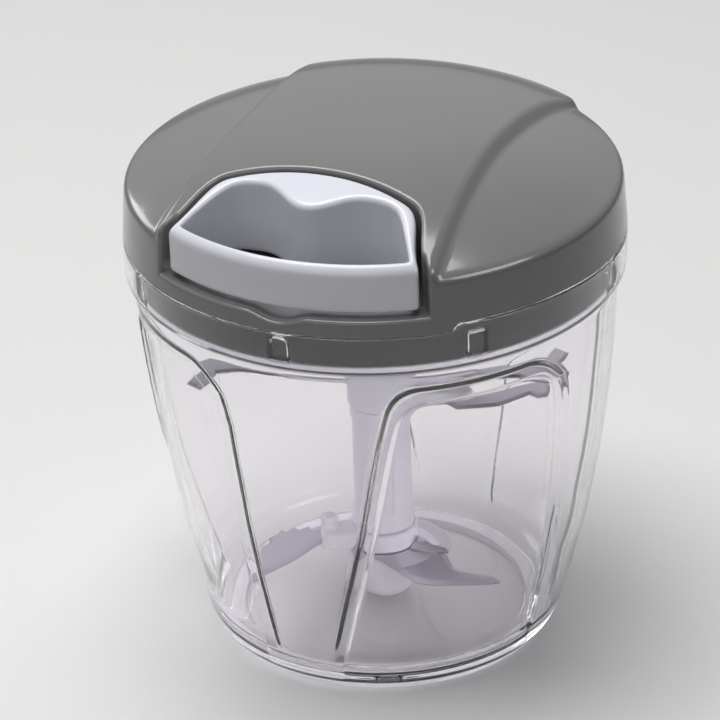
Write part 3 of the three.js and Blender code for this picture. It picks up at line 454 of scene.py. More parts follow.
finishes = { # by the record's slots
    "lid_plastic": plastic("lidGrey", (0.17, 0.167, 0.166), 0.2, cloud=0.02, grain=0.05, coat=0.3),
    "base_plastic": plastic("baseGrey", (0.02, 0.017, 0.015), 0.3, cloud=0.03, grain=0.1, specular=0.35),
    "handle_plastic": plastic("handleWhite", (0.72, 0.725, 0.79), 0.3, cloud=0.015, grain=0.08, coat=0.2),
    "shaft_plastic": plastic("shaftWhite", (0.84, 0.81, 0.88), 0.33, cloud=0.03, grain=0.1),
    "reel_plastic": plastic("reelNatural", (0.6, 0.6, 0.56), 0.45, cloud=0.05, grain=0.15),
    "soft_ring": plastic("softRing", (0.86, 0.84, 0.88), 0.45, cloud=0.05, grain=0.2),
    "blade_steel": steel("bladeSteel", (0.66, 0.62, 0.7), 0.32, lines=0.04, depth=0.0),
    "pin_steel": steel("pinSteel", (0.62, 0.62, 0.64), 0.22),
    "clear_plastic": clearPlastic(
        "clearBowl", (0.972, 0.963, 0.983), (0.95, 0.945, 0.955), 0.02, 1.4, 0.975
    ),
    "cord_fibre": braid("cordWhite", (0.8, 0.79, 0.75)),
}
print("materials ready")


# Camera, lights, floor

shot = {
    "place": (340.86, -814.86, 555.15),
    "azimuth": 23.03,
    "elevation": 28.48,
    "roll": -1.865,
    "lens": 188.18,
}
studio = {
    "background": (0.86, 0.87, 0.88),
    "worldLight": 0.2,
    "worldColour": (0.96, 0.975, 1.0, 1),
    "floor": (0.82, 0.81, 0.8),
    "farFloor": (0.36, 0.35, 0.38), # what glass and gloss see of the floor beyond the fade
    "bounceFloor": (0.42, 0.4, 0.39), # what the floor gives back as light
    "fade": (0.28, 0.8),
    "sky": [(0.0, 0.45), (0.45, 0.75), (1.0, 0.55)], # what they see of the world, by height
    "aim": (0, 0, 0.08),
    "lamps": [ # name, place, size, power, whether it lights more than gloss and glass
        ("overhead", (-0.2, 0.02, 1.25), (0.8, 0.8), 13.4, True),
        ("rightStrip", (1.1, -0.3, 0.66), (0.8, 0.42), 5.5, False),
        ("leftStrip", (-1.05, 0.33, 0.5), (0.5, 0.4), 3.0, False),
        ("front", (0.2, -1.3, 0.55), (0.9, 0.5), 1.15, True),
    ],
}


def makeCamera():
    camera = bpy.data.objects.new("camera", bpy.data.cameras.new("camera"))
    a, e, roll = np.radians([shot["azimuth"], shot["elevation"], shot["roll"]])
    back = Vector((np.sin(a) * np.cos(e), -np.cos(a) * np.cos(e), np.sin(e)))
    right = Vector((np.cos(a), np.sin(a), 0))
    up = back.cross(right)
    rolledRight = right * np.cos(roll) + up * np.sin(roll)
    rolledUp = up * np.cos(roll) - right * np.sin(roll)
    turn = Matrix((rolledRight, rolledUp, back)).transposed().to_4x4()
    camera.matrix_world = Matrix.Translation(Vector(shot["place"]) * millimetre) @ turn
    camera.data.lens = shot["lens"]
    camera.data.clip_start = 0.05
    scene.collection.objects.link(camera)
    scene.camera = camera


def areaLight(name, place, size, power, lights):
    light = bpy.data.lights.new(name, "AREA")
    light.shape = "RECTANGLE"
    light.size, light.size_y = size
    light.energy = power
    lamp = bpy.data.objects.new(name, light)
    lamp.location = place
    lamp.rotation_euler = (Vector(studio["aim"]) - Vector(place)).to_track_quat("-Z", "Y").to_euler()
    lamp.visible_diffuse = lights
    scene.collection.objects.link(lamp)


def seenRays(tree):
    # 1 for mirror and refracted rays
    path = addNode(tree, "LightPath")
    return addMath(tree, "MAXIMUM", path.outputs["Is Glossy Ray"], path.outputs["Is Transmission Ray"])


def makeWorld():
    # The camera sees a plain background, gloss and glass a soft sky by height, the rest an even light
    world = bpy.data.worlds.new("studio")
    world.use_nodes = True
    scene.world = world
    tree = world.node_tree
    lit = tree.nodes["Background"]
    feed(tree, lit, "Color", studio["worldColour"])
    feed(tree, lit, "Strength", studio["worldLight"])
    plain = addNode(tree, "Background", {"Color": (*studio["background"], 1)})
    height = addNode(tree, "SeparateXYZ", {0: addNode(tree, "TexCoord").outputs["Generated"]})
    ramp = addNode(tree, "ValToRGB", {0: height.outputs["Z"]})
    for k, (place, grey) in enumerate(studio["sky"]):
        element = ramp.color_ramp.elements[k] if k < 2 else ramp.color_ramp.elements.new(place)
        element.position = place
        element.color = (grey, grey, grey * 1.03, 1)
    sky = addNode(tree, "Background", {"Color": ramp.outputs[0]})
    bright = addNode(tree, "MixShader", {0: seenRays(tree), 1: lit.outputs[0], 2: sky.outputs[0]})
    straight = addNode(tree, "LightPath").outputs["Is Camera Ray"]
    whole = addNode(tree, "MixShader", {0: straight, 1: bright.outputs[0], 2: plain.outputs[0]})
    feed(tree, tree.nodes["World Output"], 0, whole.outputs[0])


def makeFloor():
    # Pale, greyer further out for gloss and glass alone, and giving back less light than is seen of it
    bpy.ops.mesh.primitive_plane_add(size=8, location=(0, 0, 0))
    floor = bpy.context.active_object
    floor.name = "floor"
    material, tree, shader = shaderOf("paleFloor", {"Roughness": 0.7, "Specular IOR Level": 0.2})
    near, far = studio["fade"]
    place = objectPlace(tree)
    length = addNode(tree, "VectorMath", {0: place}, operation="LENGTH").outputs["Value"]
    span = {"Value": length, "From Min": near, "From Max": far}
    away = addNode(tree, "MapRange", span, interpolation_type="SMOOTHSTEP").outputs[0]
    share = addMath(tree, "MULTIPLY", away, seenRays(tree))
    seen = mixColour(tree, share, (*studio["floor"], 1), (*studio["farFloor"], 1))
    diffuse = addNode(tree, "LightPath").outputs["Is Diffuse Ray"]
    feed(tree, shader, "Base Color", mixColour(tree, diffuse, seen, (*studio["bounceFloor"], 1)))
    floor.data.materials.append(material)


makeCamera()
makeWorld()
makeFloor()
for lamp in studio["lamps"]:
    areaLight(*lamp)
scene.view_settings.view_transform = "Standard"
print("camera and studio ready")


# Bowl

bowl = {
    "wall": [
        (46.9, 3.0), (48.3, 5.6), (49.3, 8.6), (50.1, 12), (51.6, 17), (52.8, 22), (54.6, 29), (56, 35),
        (57.8, 45), (59.5, 55), (60.8, 65), (62.1, 77.5), (63.1, 90), (63.8, 104),
    ],
    "thickness": 2.4,
    "panelDepth": 1.8,
    "panelTop": 99.8,
    "panelFoot": (5, 19), # heights over which a panel fades in
    "step": (1.5, 2.6), # width of the outer and the inner wall's step
    "outerStep": -3.2, # how far outside the panel's edge each wall's step lies
    "innerStep": 0.2,
    # a panel's left and right edge: height and degrees
    "left": [
        (8, 4.9), (20, 8.3), (38.6, 13.2), (55.7, 17.2), (71.7, 19.9), (84, 22.1), (93, 24.1), (101, 26.3),
    ],
    "right": [(8, 76.3), (30, 76.2), (45, 75.5), (68, 74.5), (84, 73.5), (92, 71.7), (101, 64.7)],
    "bore": 64.2,
    "lugRadius": 64,
    "lugWidth": 4.6,
    "lugSpan": (108.5, 115.4),
    "lugDepth": 1.0,
    "arcRise": 2.1,
    "arcStart": 39.1,
    "arcTurn": 62,
    "columns": 336,
    "crowding": (3.4, 2.6), # added to the columns' density by the panels' steps, and by the tabs' sides
    "rows": [(3, 88, 36), (88.6, 96, 13), (96.3, 102.6, 22), (103.3, 104, 2)], # from, to, how many
}


def panelEdges(height):
    # Left and right edge of a panel in degrees, and millimetres to a degree
    left = np.interp(height, *zip(*bowl["left"]))
    right = np.interp(height, *zip(*bowl["right"]))
    radii, heights = zip(*bowl["wall"])
    return left, right, np.radians(1.0) * np.interp(height, heights, radii)


def panelMask(azimuth, height, shift, step):
    # 1 inside a grip panel and 0 outside: an eased step over the rounded largest of the distances past its
    # left, right and top edges
    spot = (np.degrees(azimuth) + 4) % 90 - 4
    left, right, reach = panelEdges(height)
    side = roundMax((left - spot) * reach, (spot - right) * reach, 2.0)
    edge = roundMax(side, height - bowl["panelTop"], 7.0) - shift
    low, high = bowl["panelFoot"]
    return ease(0.5 - edge / step) * ease((height - low) / (high - low))


def columnAzimuths(heights, shifts):
    # Each row's columns, closer together by the panels' steps, and in the collar by the tabs' sides: equal
    # shares of a density summed round the circle
    angle = np.linspace(0, 360, 7201)
    byStep, byTab = bowl["crowding"]
    rows = []
    for height, shift in zip(heights, shifts):
        left, right, reach = panelEdges(height)
        spot = (angle + 4) % 90 - 4
        edges = (left - shift / reach, right + shift / reach)
        steps = sum(np.exp(-(((spot - edge) * reach) ** 2)) for edge in edges)
        tab = np.abs((angle + 22.5) % 45 - 22.5) * np.radians(bowl["lugRadius"])
        sides = np.exp(-(((tab - bowl["lugWidth"] / 2) / 0.7) ** 2))
        density = 1 + lerp(byStep * steps, byTab * sides, ease((height - 102) / 4))
        total = np.concatenate([[0], np.cumsum((density[1:] + density[:-1]) / 2)])
        rows.append(np.interp(np.linspace(0, total[-1], bowl["columns"], endpoint=False), total, angle))
    return np.radians(np.array(rows))


def lugMask(azimuth, height, grow=0.0):
    # 1 on the eight tabs inside the collar, every other one with an arched top
    pitch = np.pi / 4
    number = np.round(azimuth / pitch)
    across = (azimuth - number * pitch) * bowl["lugRadius"]
    half = bowl["lugWidth"] / 2
    low, high = bowl["lugSpan"]
    drop = half - np.sqrt(np.maximum(half**2 - across**2, 0))
    top = np.where(number % 2 == 0, high - drop, high)
    edge = np.maximum(np.abs(across) - half, np.maximum(height - top, low - height)) - grow
    return ease(0.5 - edge / 1.1)


def rimRise(azimuth):
    # Height of the two raised arcs of the rim, which fall away evenly to their ends
    along = ((np.degrees(azimuth) - bowl["arcStart"]) % 180) / bowl["arcTurn"]
    start = ease(along * bowl["arcTurn"] / 1.2)
    return np.where(along < 1, bowl["arcRise"] * (1 - along**2) * start, 0)


def makeBowl():
    curve = throughPoints(bowl["wall"], 7)
    heights = np.concatenate([np.linspace(*run) for run in bowl["rows"]])
    wall = np.stack([np.interp(heights, curve[:, 1], curve[:, 0]), heights], 1)
    foot = roundedProfile(
        [(0, 3.0), (38.5, 3.0), (38.5, 3.3), (43.5, 3.3), (43.5, 1.2), (44.9, 1.2)], 0.4, 3
    )[:-4]
    skirt = bezier((43.5, 1.6), (43.5, 1.2), (43.7, 1.2), (44.2, 1.2), 4)
    heel = bezier((44.9, 1.2), (45.8, 1.25), (46.4, 2.1), (46.9, 3.0), 5)
    outer = np.vstack([foot, skirt, [(44.9, 1.2)], heel[:-1], wall])
    collar = np.vstack([
        bezier((63.8, 104), (63.9, 105.2), (64.0, 106.0), (64.6, 106.3), 5),
        bezier((64.6, 106.3), (65.5, 106.8), (66, 107.2), (66, 108.2), 5),
        upright(66.0, 109, 116.2, 10),
        bezier((66, 116.2), (66, 116.9), (65.9, 117), (65.4, 117), 4),
        bezier((65.4, 117), (64.5, 117), (64.2, 116.9), (64.2, 116.4), 4),
        upright(bowl["bore"], 115.6, 107.6, 22),
        bezier((64.2, 107.2), (64.2, 106.7), (64.0, 106.6), (63.6, 106.6), 4),
        [(62.2, 106.6)],
        bezier((62.2, 106.6), (61.7, 106.6), (61.5, 106.2), (61.45, 105.6), 4),
    ])
    inner = wall[::-1] - [bowl["thickness"], 0]
    inner = inner[inner[:, 1] > 12]
    floor = np.vstack([
        bezier((47.7, 12), (47.2, 9.4), (46.4, 8.0), (44.6, 6.8), 8),
        bezier((44.6, 6.8), (43.6, 6.1), (42.6, 5.8), (41.0, 5.8), 5),
        np.stack([np.linspace(38, 6, 7), np.full(7, 5.8)], 1),
        bezier((5.4, 5.8), (4.8, 5.8), (4.6, 6.0), (4.6, 6.5), 3),
        [(4.6, 8.5), (4.2, 9.0), (2.9, 9.0), (2.5, 8.7), (2.5, 4.4), (2.3, 4.2), (0, 4.2)],
    ])
    profile = np.vstack([outer, collar, inner, floor])
    part = np.concatenate([np.full(len(c), k) for k, c in enumerate([outer, collar, inner, floor])])
    shift = np.where(part < 2, bowl["outerStep"], bowl["innerStep"])
    step = np.where(part < 2, *bowl["step"])
    a = columnAzimuths(profile[:, 1], shift)
    r, z = profile[:, :1], profile[:, 1:]
    onWall = ((part == 0) & (profile[:, 0] > 45))[:, None] | (part == 2)[:, None]
    r = r - np.where(onWall, bowl["panelDepth"] * panelMask(a, z, shift[:, None], step[:, None]), 0)
    bore = ((part == 1) & (np.abs(profile[:, 0] - bowl["bore"]) < 0.01))[:, None]
    r = r - np.where(bore, bowl["lugDepth"] * lugMask(a, z), 0)
    top = (part == 1)[:, None] & (z > 116)
    z = z + np.where(top, rimRise(a) * ease((z - 116) / 0.9), 0)
    piece = gridPiece("clear_bowl", spacePoints(r, a, z), 50)
    stand(piece, "bowl", ["bowl"], "clear_plastic")
    print("made bowl", a.shape)


makeBowl()


# Lid

lid = {
    "skirt": (66.0, 65.0),
    "skirtSpan": (117.3, 131.2),
    "domeRadius": 64.4,
    "domeFoot": 132.3,
    "panelRise": 11.4,
    "bandLift": 2.4,
    "bandRise": 12.3,
    "power": 3,
    "bandHalf": 32.8,
    "flare": 3.1,
    "flareRun": 45,
    "flarePower": 1.5,
    "faceSlope": 0.8,
    "wall": 2.0,
    "sill": 122.0,
    "gap": 1.3,
    "mouth": 34.1,
    "lip": 1.1,
    "dip": (12.6, 132.8, 55.0), # radius, height of its centre, how far in it starts
    "screws": (55, 128, -128, -55),
    "screwCircle": 50,
    "screwBoss": (4.0, 1.5), # radius of the boss and of its hole
    "axleBoss": (7.0, 141.8), # radius, underside
    "axleBore": (3.7, 144.1), # radius, top
    "cordHole": (3.1, -26.0), # radius, where it ends
    "relief": 63.9, # radius outside which the lid clears the rim's arcs
    "box": ((-66.2, -66.2, 117.0), (66.2, 66.2, 147.2)),
    "cell": 0.6,
}
handle = {
    "front": 64.0,
    "halfTurn": 32.2,
    "corner": 2.8,
    "sideRun": 10.0,
    "shoulder": (24.0, 36.3),
    "flank": 5.0,
    "back": 31.4,
    "openingFront": 61.2,
    "openingTurn": 30.3,
    "openingCorner": 1.8,
    "openingRun": 18.4,
    "lobe": (16.0, 38.0),
    "reach": (7.5, 6.0),
    "bump": 45.4,
    "bottom": 123.5,
    "edge": 2.0,
    "openingEdge": 1.5,
    "cordHeight": 127.4,
    "cordBore": (1.6, 10.0), # radius, length
    "knot": 38.9,
    "pocket": (3.5, 130.9), # radius, top
    "box": ((-36, -64.2, 123.3), (36, -31.2, 146.0)),
    "cell": 0.4,
}


def bothSides(right):
    # An outline's right half, from the front to the back, followed by its mirror image
    return np.vstack([right, (right * [-1, 1])[::-1]])


def wedge(radius, degrees, corner):
    # Half a front arc with its rounded corner, ending on the straight side that runs towards the axis
    front = around(radius, np.radians(np.linspace(0, degrees - np.degrees(corner / radius), 24))).T
    tip = around(radius, np.radians(degrees))
    side = around(radius - corner, np.radians(degrees))
    return np.vstack([front, bezier(front[-1], tip, tip, side, 6)])


def handleOutline():
    (sx, sy), back = handle["shoulder"], handle["back"]
    turn = np.radians(handle["halfTurn"])
    front = wedge(handle["front"], handle["halfTurn"], handle["corner"])
    heel = around(handle["front"] - handle["sideRun"], turn)
    slope = 2 * (sy - back) / sx
    flank = (sx + handle["flank"], -sy - handle["flank"] * slope)
    peak = -back + (sy - back) / 3
    crown = bezier((sx, -sy), (sx / 3, peak), (-sx / 3, peak), (-sx, -sy), 24)[:12]
    return bothSides(np.vstack([front, bezier(front[-1], heel, flank, (sx, -sy), 14), crown]))


def openingOutline():
    (lx, ly), (reach, bumpReach), bump = handle["lobe"], handle["reach"], handle["bump"]
    front = wedge(handle["openingFront"], handle["openingTurn"], handle["openingCorner"])
    heel = around(handle["front"] - handle["openingRun"], np.radians(handle["openingTurn"]))
    return bothSides(np.vstack([
        front,
        bezier(front[-1], heel, (lx + reach, -ly), (lx, -ly), 14),
        bezier((lx, -ly), (lx - reach, -ly), (bumpReach, -bump), (0, -bump), 14),
    ]))


handleEdge = handleOutline()
openingEdge = openingOutline()


def recessDistance(x, y, grow=0.0):
    # The handle's outline grown by its gap, joined with a wedge that opens the recess to the front
    body = outlineDistance(handleEdge, x, y) - lid["gap"] - grow
    turn = np.radians(lid["mouth"])
    mouth = np.abs(x) * np.cos(turn) + y * np.sin(turn) - grow
    return roundMin(body, np.maximum(mouth, y + 50.0), 1.0)


def domeTop(r, foot, rise, inset):
    # A dome's height, foot + rise (1 - (r / R)^3), over a smaller circle where it is inset
    return foot - inset + rise * (1 - (r / (lid["domeRadius"] - inset)) ** lid["power"])


def domeDistance(r, z, foot, rise, inset):
    # Distance above a dome, divided by its slope
    power = lid["power"]
    slope = rise * power * r ** (power - 1) / (lid["domeRadius"] - inset) ** power
    return (z - domeTop(r, foot, rise, inset)) / np.sqrt(1 + slope**2)


def lidShell(x, y, z, inset, fillet, edge):
    # The lid's outer body: two domes, the higher one only on the band with its sloping sides, within the
    # tapered skirt
    r = np.hypot(x, y)
    bandFoot = lid["domeFoot"] + lid["bandLift"]
    low = domeDistance(r, z, lid["domeFoot"], lid["panelRise"], inset)
    high = domeDistance(r, z, bandFoot, lid["bandRise"], inset)
    half = lid["bandHalf"] + lid["flare"] * (np.abs(y) / lid["flareRun"]) ** lid["flarePower"] - inset
    drop = domeTop(r, bandFoot, lid["bandRise"], inset) - z
    side = (np.abs(x) - half - lid["faceSlope"] * drop) / np.hypot(1, lid["faceSlope"])
    top = roundMin(low, roundMax(high, side, edge), 0.7)
    bottom, skirtTop = lid["skirtSpan"]
    outer, inner = lid["skirt"]
    skirt = r - lerp(outer, inner, (z - bottom) / (skirtTop - bottom)) + inset
    return roundMax(top, skirt, fillet)


def lidDistance(x, y, z):
    # The shell with the handle's recess, the thumb dip, the hollow with its bosses, the cord's hole and
    # the notches over the rim's raised arcs
    r = np.hypot(x, y)
    body = lidShell(x, y, z, 0.0, 1.7, 0.9)
    recess = np.maximum(recessDistance(x, y), lid["sill"] - z)
    body = roundMax(body, -recess, lid["lip"])
    radius, height, start = lid["dip"]
    dip = np.hypot(x, z - height) - radius
    body = roundMax(body, -roundMax(dip, y + start, 2.5), 1.2)
    hollow = lidShell(x, y, z, lid["wall"], 1.0, 1.0)
    pocket = np.maximum(recessDistance(x, y, lid["wall"]), lid["sill"] - lid["wall"] - z)
    hollow = np.maximum(hollow, -pocket)
    hollow = np.maximum(hollow, -np.maximum(dip - lid["wall"], y + start - lid["wall"]))
    boss, hole = lid["screwBoss"]
    for turn in lid["screws"]:
        cx, cy = around(lid["screwCircle"], np.radians(turn))
        off = np.hypot(x - cx, y - cy)
        hollow = np.maximum(hollow, -np.maximum(off - boss, hole - off))
    boss, underside = lid["axleBoss"]
    shell = np.maximum(body, -np.maximum(hollow, -np.maximum(r - boss, underside - z)))
    bore, top = lid["axleBore"]
    shell = np.maximum(shell, -np.maximum(r - bore, z - top))
    bore, end = lid["cordHole"]
    shell = np.maximum(shell, -np.maximum(np.hypot(x, z - handle["cordHeight"]) - bore, y - end))
    foot = lid["skirtSpan"][0]
    relief = np.maximum(lid["relief"] - r, z - foot - rimRise(np.arctan2(x, -y) + 0.005))
    return np.maximum(np.maximum(shell, -relief), foot - z)


def handleDistance(x, y, z):
    # The D-shaped handle: its outline under the curve of the lid's band, with the finger opening, the
    # cord's bore and the knot's pocket taken out
    top = domeDistance(np.hypot(x, y), z, lid["domeFoot"] + lid["bandLift"], lid["bandRise"], 0.0)
    body = roundMax(outlineDistance(handleEdge, x, y), top, handle["edge"])
    body = roundMax(body, handle["bottom"] - z, 1.0)
    body = roundMax(body, -outlineDistance(openingEdge, x, y), handle["openingEdge"])
    knot, (radius, length) = handle["knot"], handle["cordBore"]
    half = length / 2
    bore = np.maximum(np.hypot(x, z - handle["cordHeight"]) - radius, np.abs(y + knot - half) - half)
    radius, top = handle["pocket"]
    pocket = np.maximum(np.hypot(x, y + knot) - radius, z - top)
    return np.maximum(body, -np.minimum(bore, pocket))


lidTop = solidPiece("lid_top", lidDistance, lid["box"], lid["cell"])
stand(lidTop, "lid", ["lid_cover"], "lid_plastic")
dHandle = solidPiece("d_handle", handleDistance, handle["box"], handle["cell"])
stand(dHandle, "handle", ["pull_handle"], "handle_plastic")


# Lid base: the dark ring behind the clear collar, with a notch over each tab of the bowl

base = {
    "ring": (63.6, 60.7),
    "span": (108.5, 119.3),
    "plateTop": 111.0,
    "boss": (11.3, 13.2),
    "bossBottom": 103.8,
    "notchDepth": 1.4,
    "notchGrow": 0.35,
    "columns": 384,
}


def makeLidBase():
    outer, inner = base["ring"]
    bottom, top = base["span"]
    boss, bossOuter = base["boss"]
    foot, plate = base["bossBottom"], base["plateTop"]
    azimuth = np.linspace(0, 2 * np.pi, base["columns"], endpoint=False)[None, :]
    under = roundedProfile([(boss, foot), (bossOuter, foot), (bossOuter, bottom)], 0.4)[3:-3]
    wall = np.vstack([
        bezier((62.9, bottom), (63.3, bottom), (outer, bottom + 0.3), (outer, bottom + 0.7), 4),
        upright(outer, bottom + 1.0, top - 0.7, 30),
        bezier((outer, top - 0.5), (outer, top - 0.2), (63.3, top), (63.0, top), 4),
    ])
    back = [(inner + 0.4, top), (inner, top - 0.4), (inner, plate + 0.4), (inner - 0.4, plate)]
    profile = np.vstack([
        under, [(16, bottom), (30, bottom), (46, bottom), (58, bottom), (62.6, bottom)], wall, back,
        [(40, plate), (boss + 0.3, plate), (boss, plate - 0.3)],
    ])
    r, z = profile[:, :1], profile[:, 1:]
    r = r - base["notchDepth"] * lugMask(azimuth, z, base["notchGrow"]) * (r > 62.8)
    piece = gridPiece("base_ring", spacePoints(r, azimuth, z), 45, closeRows=True)
    stand(piece, "lid", ["lid_base"], "base_plastic")


makeLidBase()


# Round pieces: each a profile of (radius, height) with eased corners

roundPieces = [
    ("foot_pad", "bowl", "foot_ring", "soft_ring", 180, 0.7,
     [(38.8, 0), (43.2, 0), (43.2, 3.0), (38.8, 3.0)]),
    ("seal_ring", "lid", "lid_seal", "soft_ring", 240, 0.5,
     [(61.9, 106.9), (63.6, 106.9), (63.6, 108.2), (61.9, 108.2)]),
    ("floor_pin", "bowl", "pivot_pin", "pin_steel", 48, 0.4,
     [(0, 4.5), (2.2, 4.5), (2.2, 26.8), (1.1, 27.9), (0, 27.9)]),
    ("shaft_cup", "blades", "shaft_foot", "shaft_plastic", 96, 1.2,
     [(4.9, 6.1), (6.5, 6.1), (7.6, 7.8), (8.0, 9.7), (8.0, 19.7), (2.5, 19.7), (2.5, 9.2), (4.9, 9.2)]),
    ("bearing_bush", "lid", "drive_bush", "reel_plastic", 96, 0.3,
     [(8.8, 103.8), (10.9, 103.8), (10.9, 111.3), (13.4, 111.3), (13.4, 112.1), (8.8, 112.1)]),
]
for name, body, node, slot, columns, radius, corners in roundPieces:
    stand(lathePiece(name, corners, columns, radius), body, [node], slot)
print("round pieces ready")


# Shaft: the lower part with two long flutes, the thinner core above, a hexagon at the top

shaft = {
    "profile": [
        (2.5, 20.0), (5.2, 20.0), (5.2, 26.8), (8.3, 26.8), (8.3, 63.9), (6.5, 63.9), (6.5, 99.5),
        (5.2, 99.5), (5.2, 111.5), (0, 111.5), (0, 28.2), (2.5, 28.2),
    ],
    "radius": 8.3,
    "hexagon": (5.43, 100.3), # radius to its corners, height where it starts
    "flute": (33.0, 60.0),
    "fluteDepth": 0.55,
    "fluteHalf": 2.6,
}


def makeShaft():
    profile = roundedProfile(shaft["profile"], 0.5)
    radius, margin = shaft["radius"], 0.1
    wide = profile[:, 0] > radius - margin
    k = int(np.nonzero(wide[:-1] & wide[1:] & (np.diff(profile[:, 1]) > 10))[0][0])
    column = upright(radius, profile[k, 1], profile[k + 1, 1], 62)[1:-1]
    profile = np.vstack([profile[: k + 1], column, profile[k + 1:]])
    azimuth = np.linspace(0, 2 * np.pi, 160, endpoint=False)[None, :]
    r, z = profile[:, :1], profile[:, 1:]
    low, high = shaft["flute"]
    across = ((np.degrees(azimuth) + 20) % 90 - 45) * np.radians(1) * radius
    edge = np.maximum(np.abs(across) - shaft["fluteHalf"], np.maximum(low - z, z - high))
    r = r - shaft["fluteDepth"] * ease(0.5 - edge / 0.9) * (r > radius - margin)
    corner, start = shaft["hexagon"]
    hexagon = corner * np.cos(np.pi / 6) / np.cos((azimuth + np.pi / 6) % (np.pi / 3) - np.pi / 6)
    r = np.where((z > start) & (r > 5.0), hexagon, r)
    piece = gridPiece("shaft_body", spacePoints(r, azimuth, z), 40)
    stand(piece, "blades", ["blade_shaft"], "shaft_plastic")


makeShaft()


# Blades: worked out lengthways and turned into place. Outlines are in millimetres, or in shares of the
# blade's length where it has one

bladesTurn = 2.7
bladeCell = 0.32
bladeSpecs = [
    {
        "name": "sickle_blade", "node": "lower_blade_sickle", "turn": 18, "height": 20.0, "bevel": 2.2,
        "smooth": True, "root": 9.4, "bore": 5.5,
        "outline": [
            (-4, -8.4), (-1, -11.6), (3.2, -16.7), (6, -20.2), (8.7, -22.4), (13, -23.8), (18.8, -24.2),
            (25, -24.2), (30.6, -23.4), (31.4, -22.2), (30.8, -20.8), (28.9, -18.9), (25.6, -17.6),
            (22.1, -16.4), (19.6, -15), (18.4, -12.4), (17.6, -9.2), (15.6, -4), (11, 0), (6, 4),
        ],
    },
    {
        "name": "serrated_blade", "node": "lower_blade_serrated", "turn": 198, "height": 23.4, "bevel": 1.4,
        "length": 36,
        "outline": [
            (0.33, 0.02), (0.47, -0.02), (0.546, 0.0), (0.573, -0.061), (0.648, -0.007), (0.69, -0.052),
            (0.744, 0.019), (0.796, -0.003), (0.826, 0.086), (0.883, 0.109), (0.874, 0.195),
            (0.914, 0.211), (0.943, 0.325), (0.944, 0.499), (0.893, 0.671), (0.827, 0.608),
            (0.655, 0.434), (0.5, 0.24), (0.46, 0.2), (0.33, 0.19),
        ],
    },
    {
        "name": "rear_blade", "node": "lower_blade_rear", "turn": 18, "height": 21.8, "bevel": 1.6,
        "smooth": True, "pitch": 2, "clear": 9.7,
        "outline": [
            (6, -6), (15.4, -9.6), (18.2, -8.8), (18.6, -5.7), (17.6, -1), (15.4, 3), (12, 6.3),
            (8.4, 8.4), (5.6, 8.8), (2, 7.5),
        ],
    },
    {
        "name": "upper_blade_a", "node": "upper_blade_right", "turn": 15, "height": 73.3, "bevel": 1.5,
        "length": 52,
        "outline": [
            (0.3, -0.065), (0.55, -0.085), (0.72, -0.07), (0.8, -0.12), (0.88, -0.11), (0.963, -0.04),
            (0.935, 0.05), (0.985, 0.19), (0.895, 0.26), (0.868, 0.19), (0.83, 0.075), (0.72, 0.05),
            (0.55, 0.075), (0.3, 0.065),
        ],
    },
    {
        "name": "middle_blade_a", "node": "middle_blade", "turn": 3, "height": 68.1, "bevel": 1.5,
        "length": 47,
        "outline": [
            (0.33, -0.06), (0.5, -0.17), (0.72, -0.08), (0.86, 0.09), (0.91, 0.06), (0.965, 0.1),
            (0.97, 0.25), (0.93, 0.31), (0.85, 0.25), (0.72, 0.15), (0.55, 0.08), (0.33, 0.08),
        ],
    },
]
bladeSpecs.insert(4, {**bladeSpecs[3], "name": "upper_blade_b", "node": "upper_blade_left", "turn": 195})


def bladeDistance(spec, outline):
    # A one millimetre plate whose upper face slopes down over the bevel to a thin cutting edge
    thickness, edge = 1.0, 0.18
    fall = (thickness - edge) / spec["bevel"]
    pitch = np.radians(spec.get("pitch", 0))

    def distance(x, y, z):
        x, y, z = x + 0 * y + 0 * z, y + 0 * x + 0 * z, z + 0 * x + 0 * y
        along = y * np.cos(pitch) + (z - spec["height"]) * np.sin(pitch)
        up = (z - spec["height"]) * np.cos(pitch) - y * np.sin(pitch)
        plan = outlineDistance(outline, *((x, along) if pitch else (x[..., :1], y[..., :1])))
        bevel = (up - edge + plan * fall) / np.hypot(1, fall)
        r, plate = np.hypot(x, y), np.maximum(-up, up - thickness)
        solid = np.maximum(np.maximum(plan, bevel), plate)
        if "bore" in spec:
            solid = np.minimum(solid, np.maximum(r - spec["root"], plate))
            solid = np.maximum(solid, spec["bore"] - r)
        return np.maximum(solid, spec["clear"] - r) if "clear" in spec else solid

    return distance


def makeBlades():
    for spec in bladeSpecs:
        outline = np.array(spec["outline"], float) * spec.get("length", 1)
        if spec.get("smooth"):
            outline = throughPoints(outline, 4, closed=True)
        low, high = outline.min(0), outline.max(0)
        if "bore" in spec:
            low, high = np.minimum(low, -spec["root"]), np.maximum(high, spec["root"])
        lift = 3.6 if "pitch" in spec else 1.0
        box = ((*low, spec["height"]), (*high, spec["height"] + lift))
        turn = spec["turn"] + bladesTurn
        piece = solidPiece(spec["name"], bladeDistance(spec, outline), box, bladeCell, turn)
        piece.data.set_sharp_from_angle(angle=np.radians(30))
        stand(piece, "blades", [spec["node"]], "blade_steel")


makeBlades()


# Blade carriers

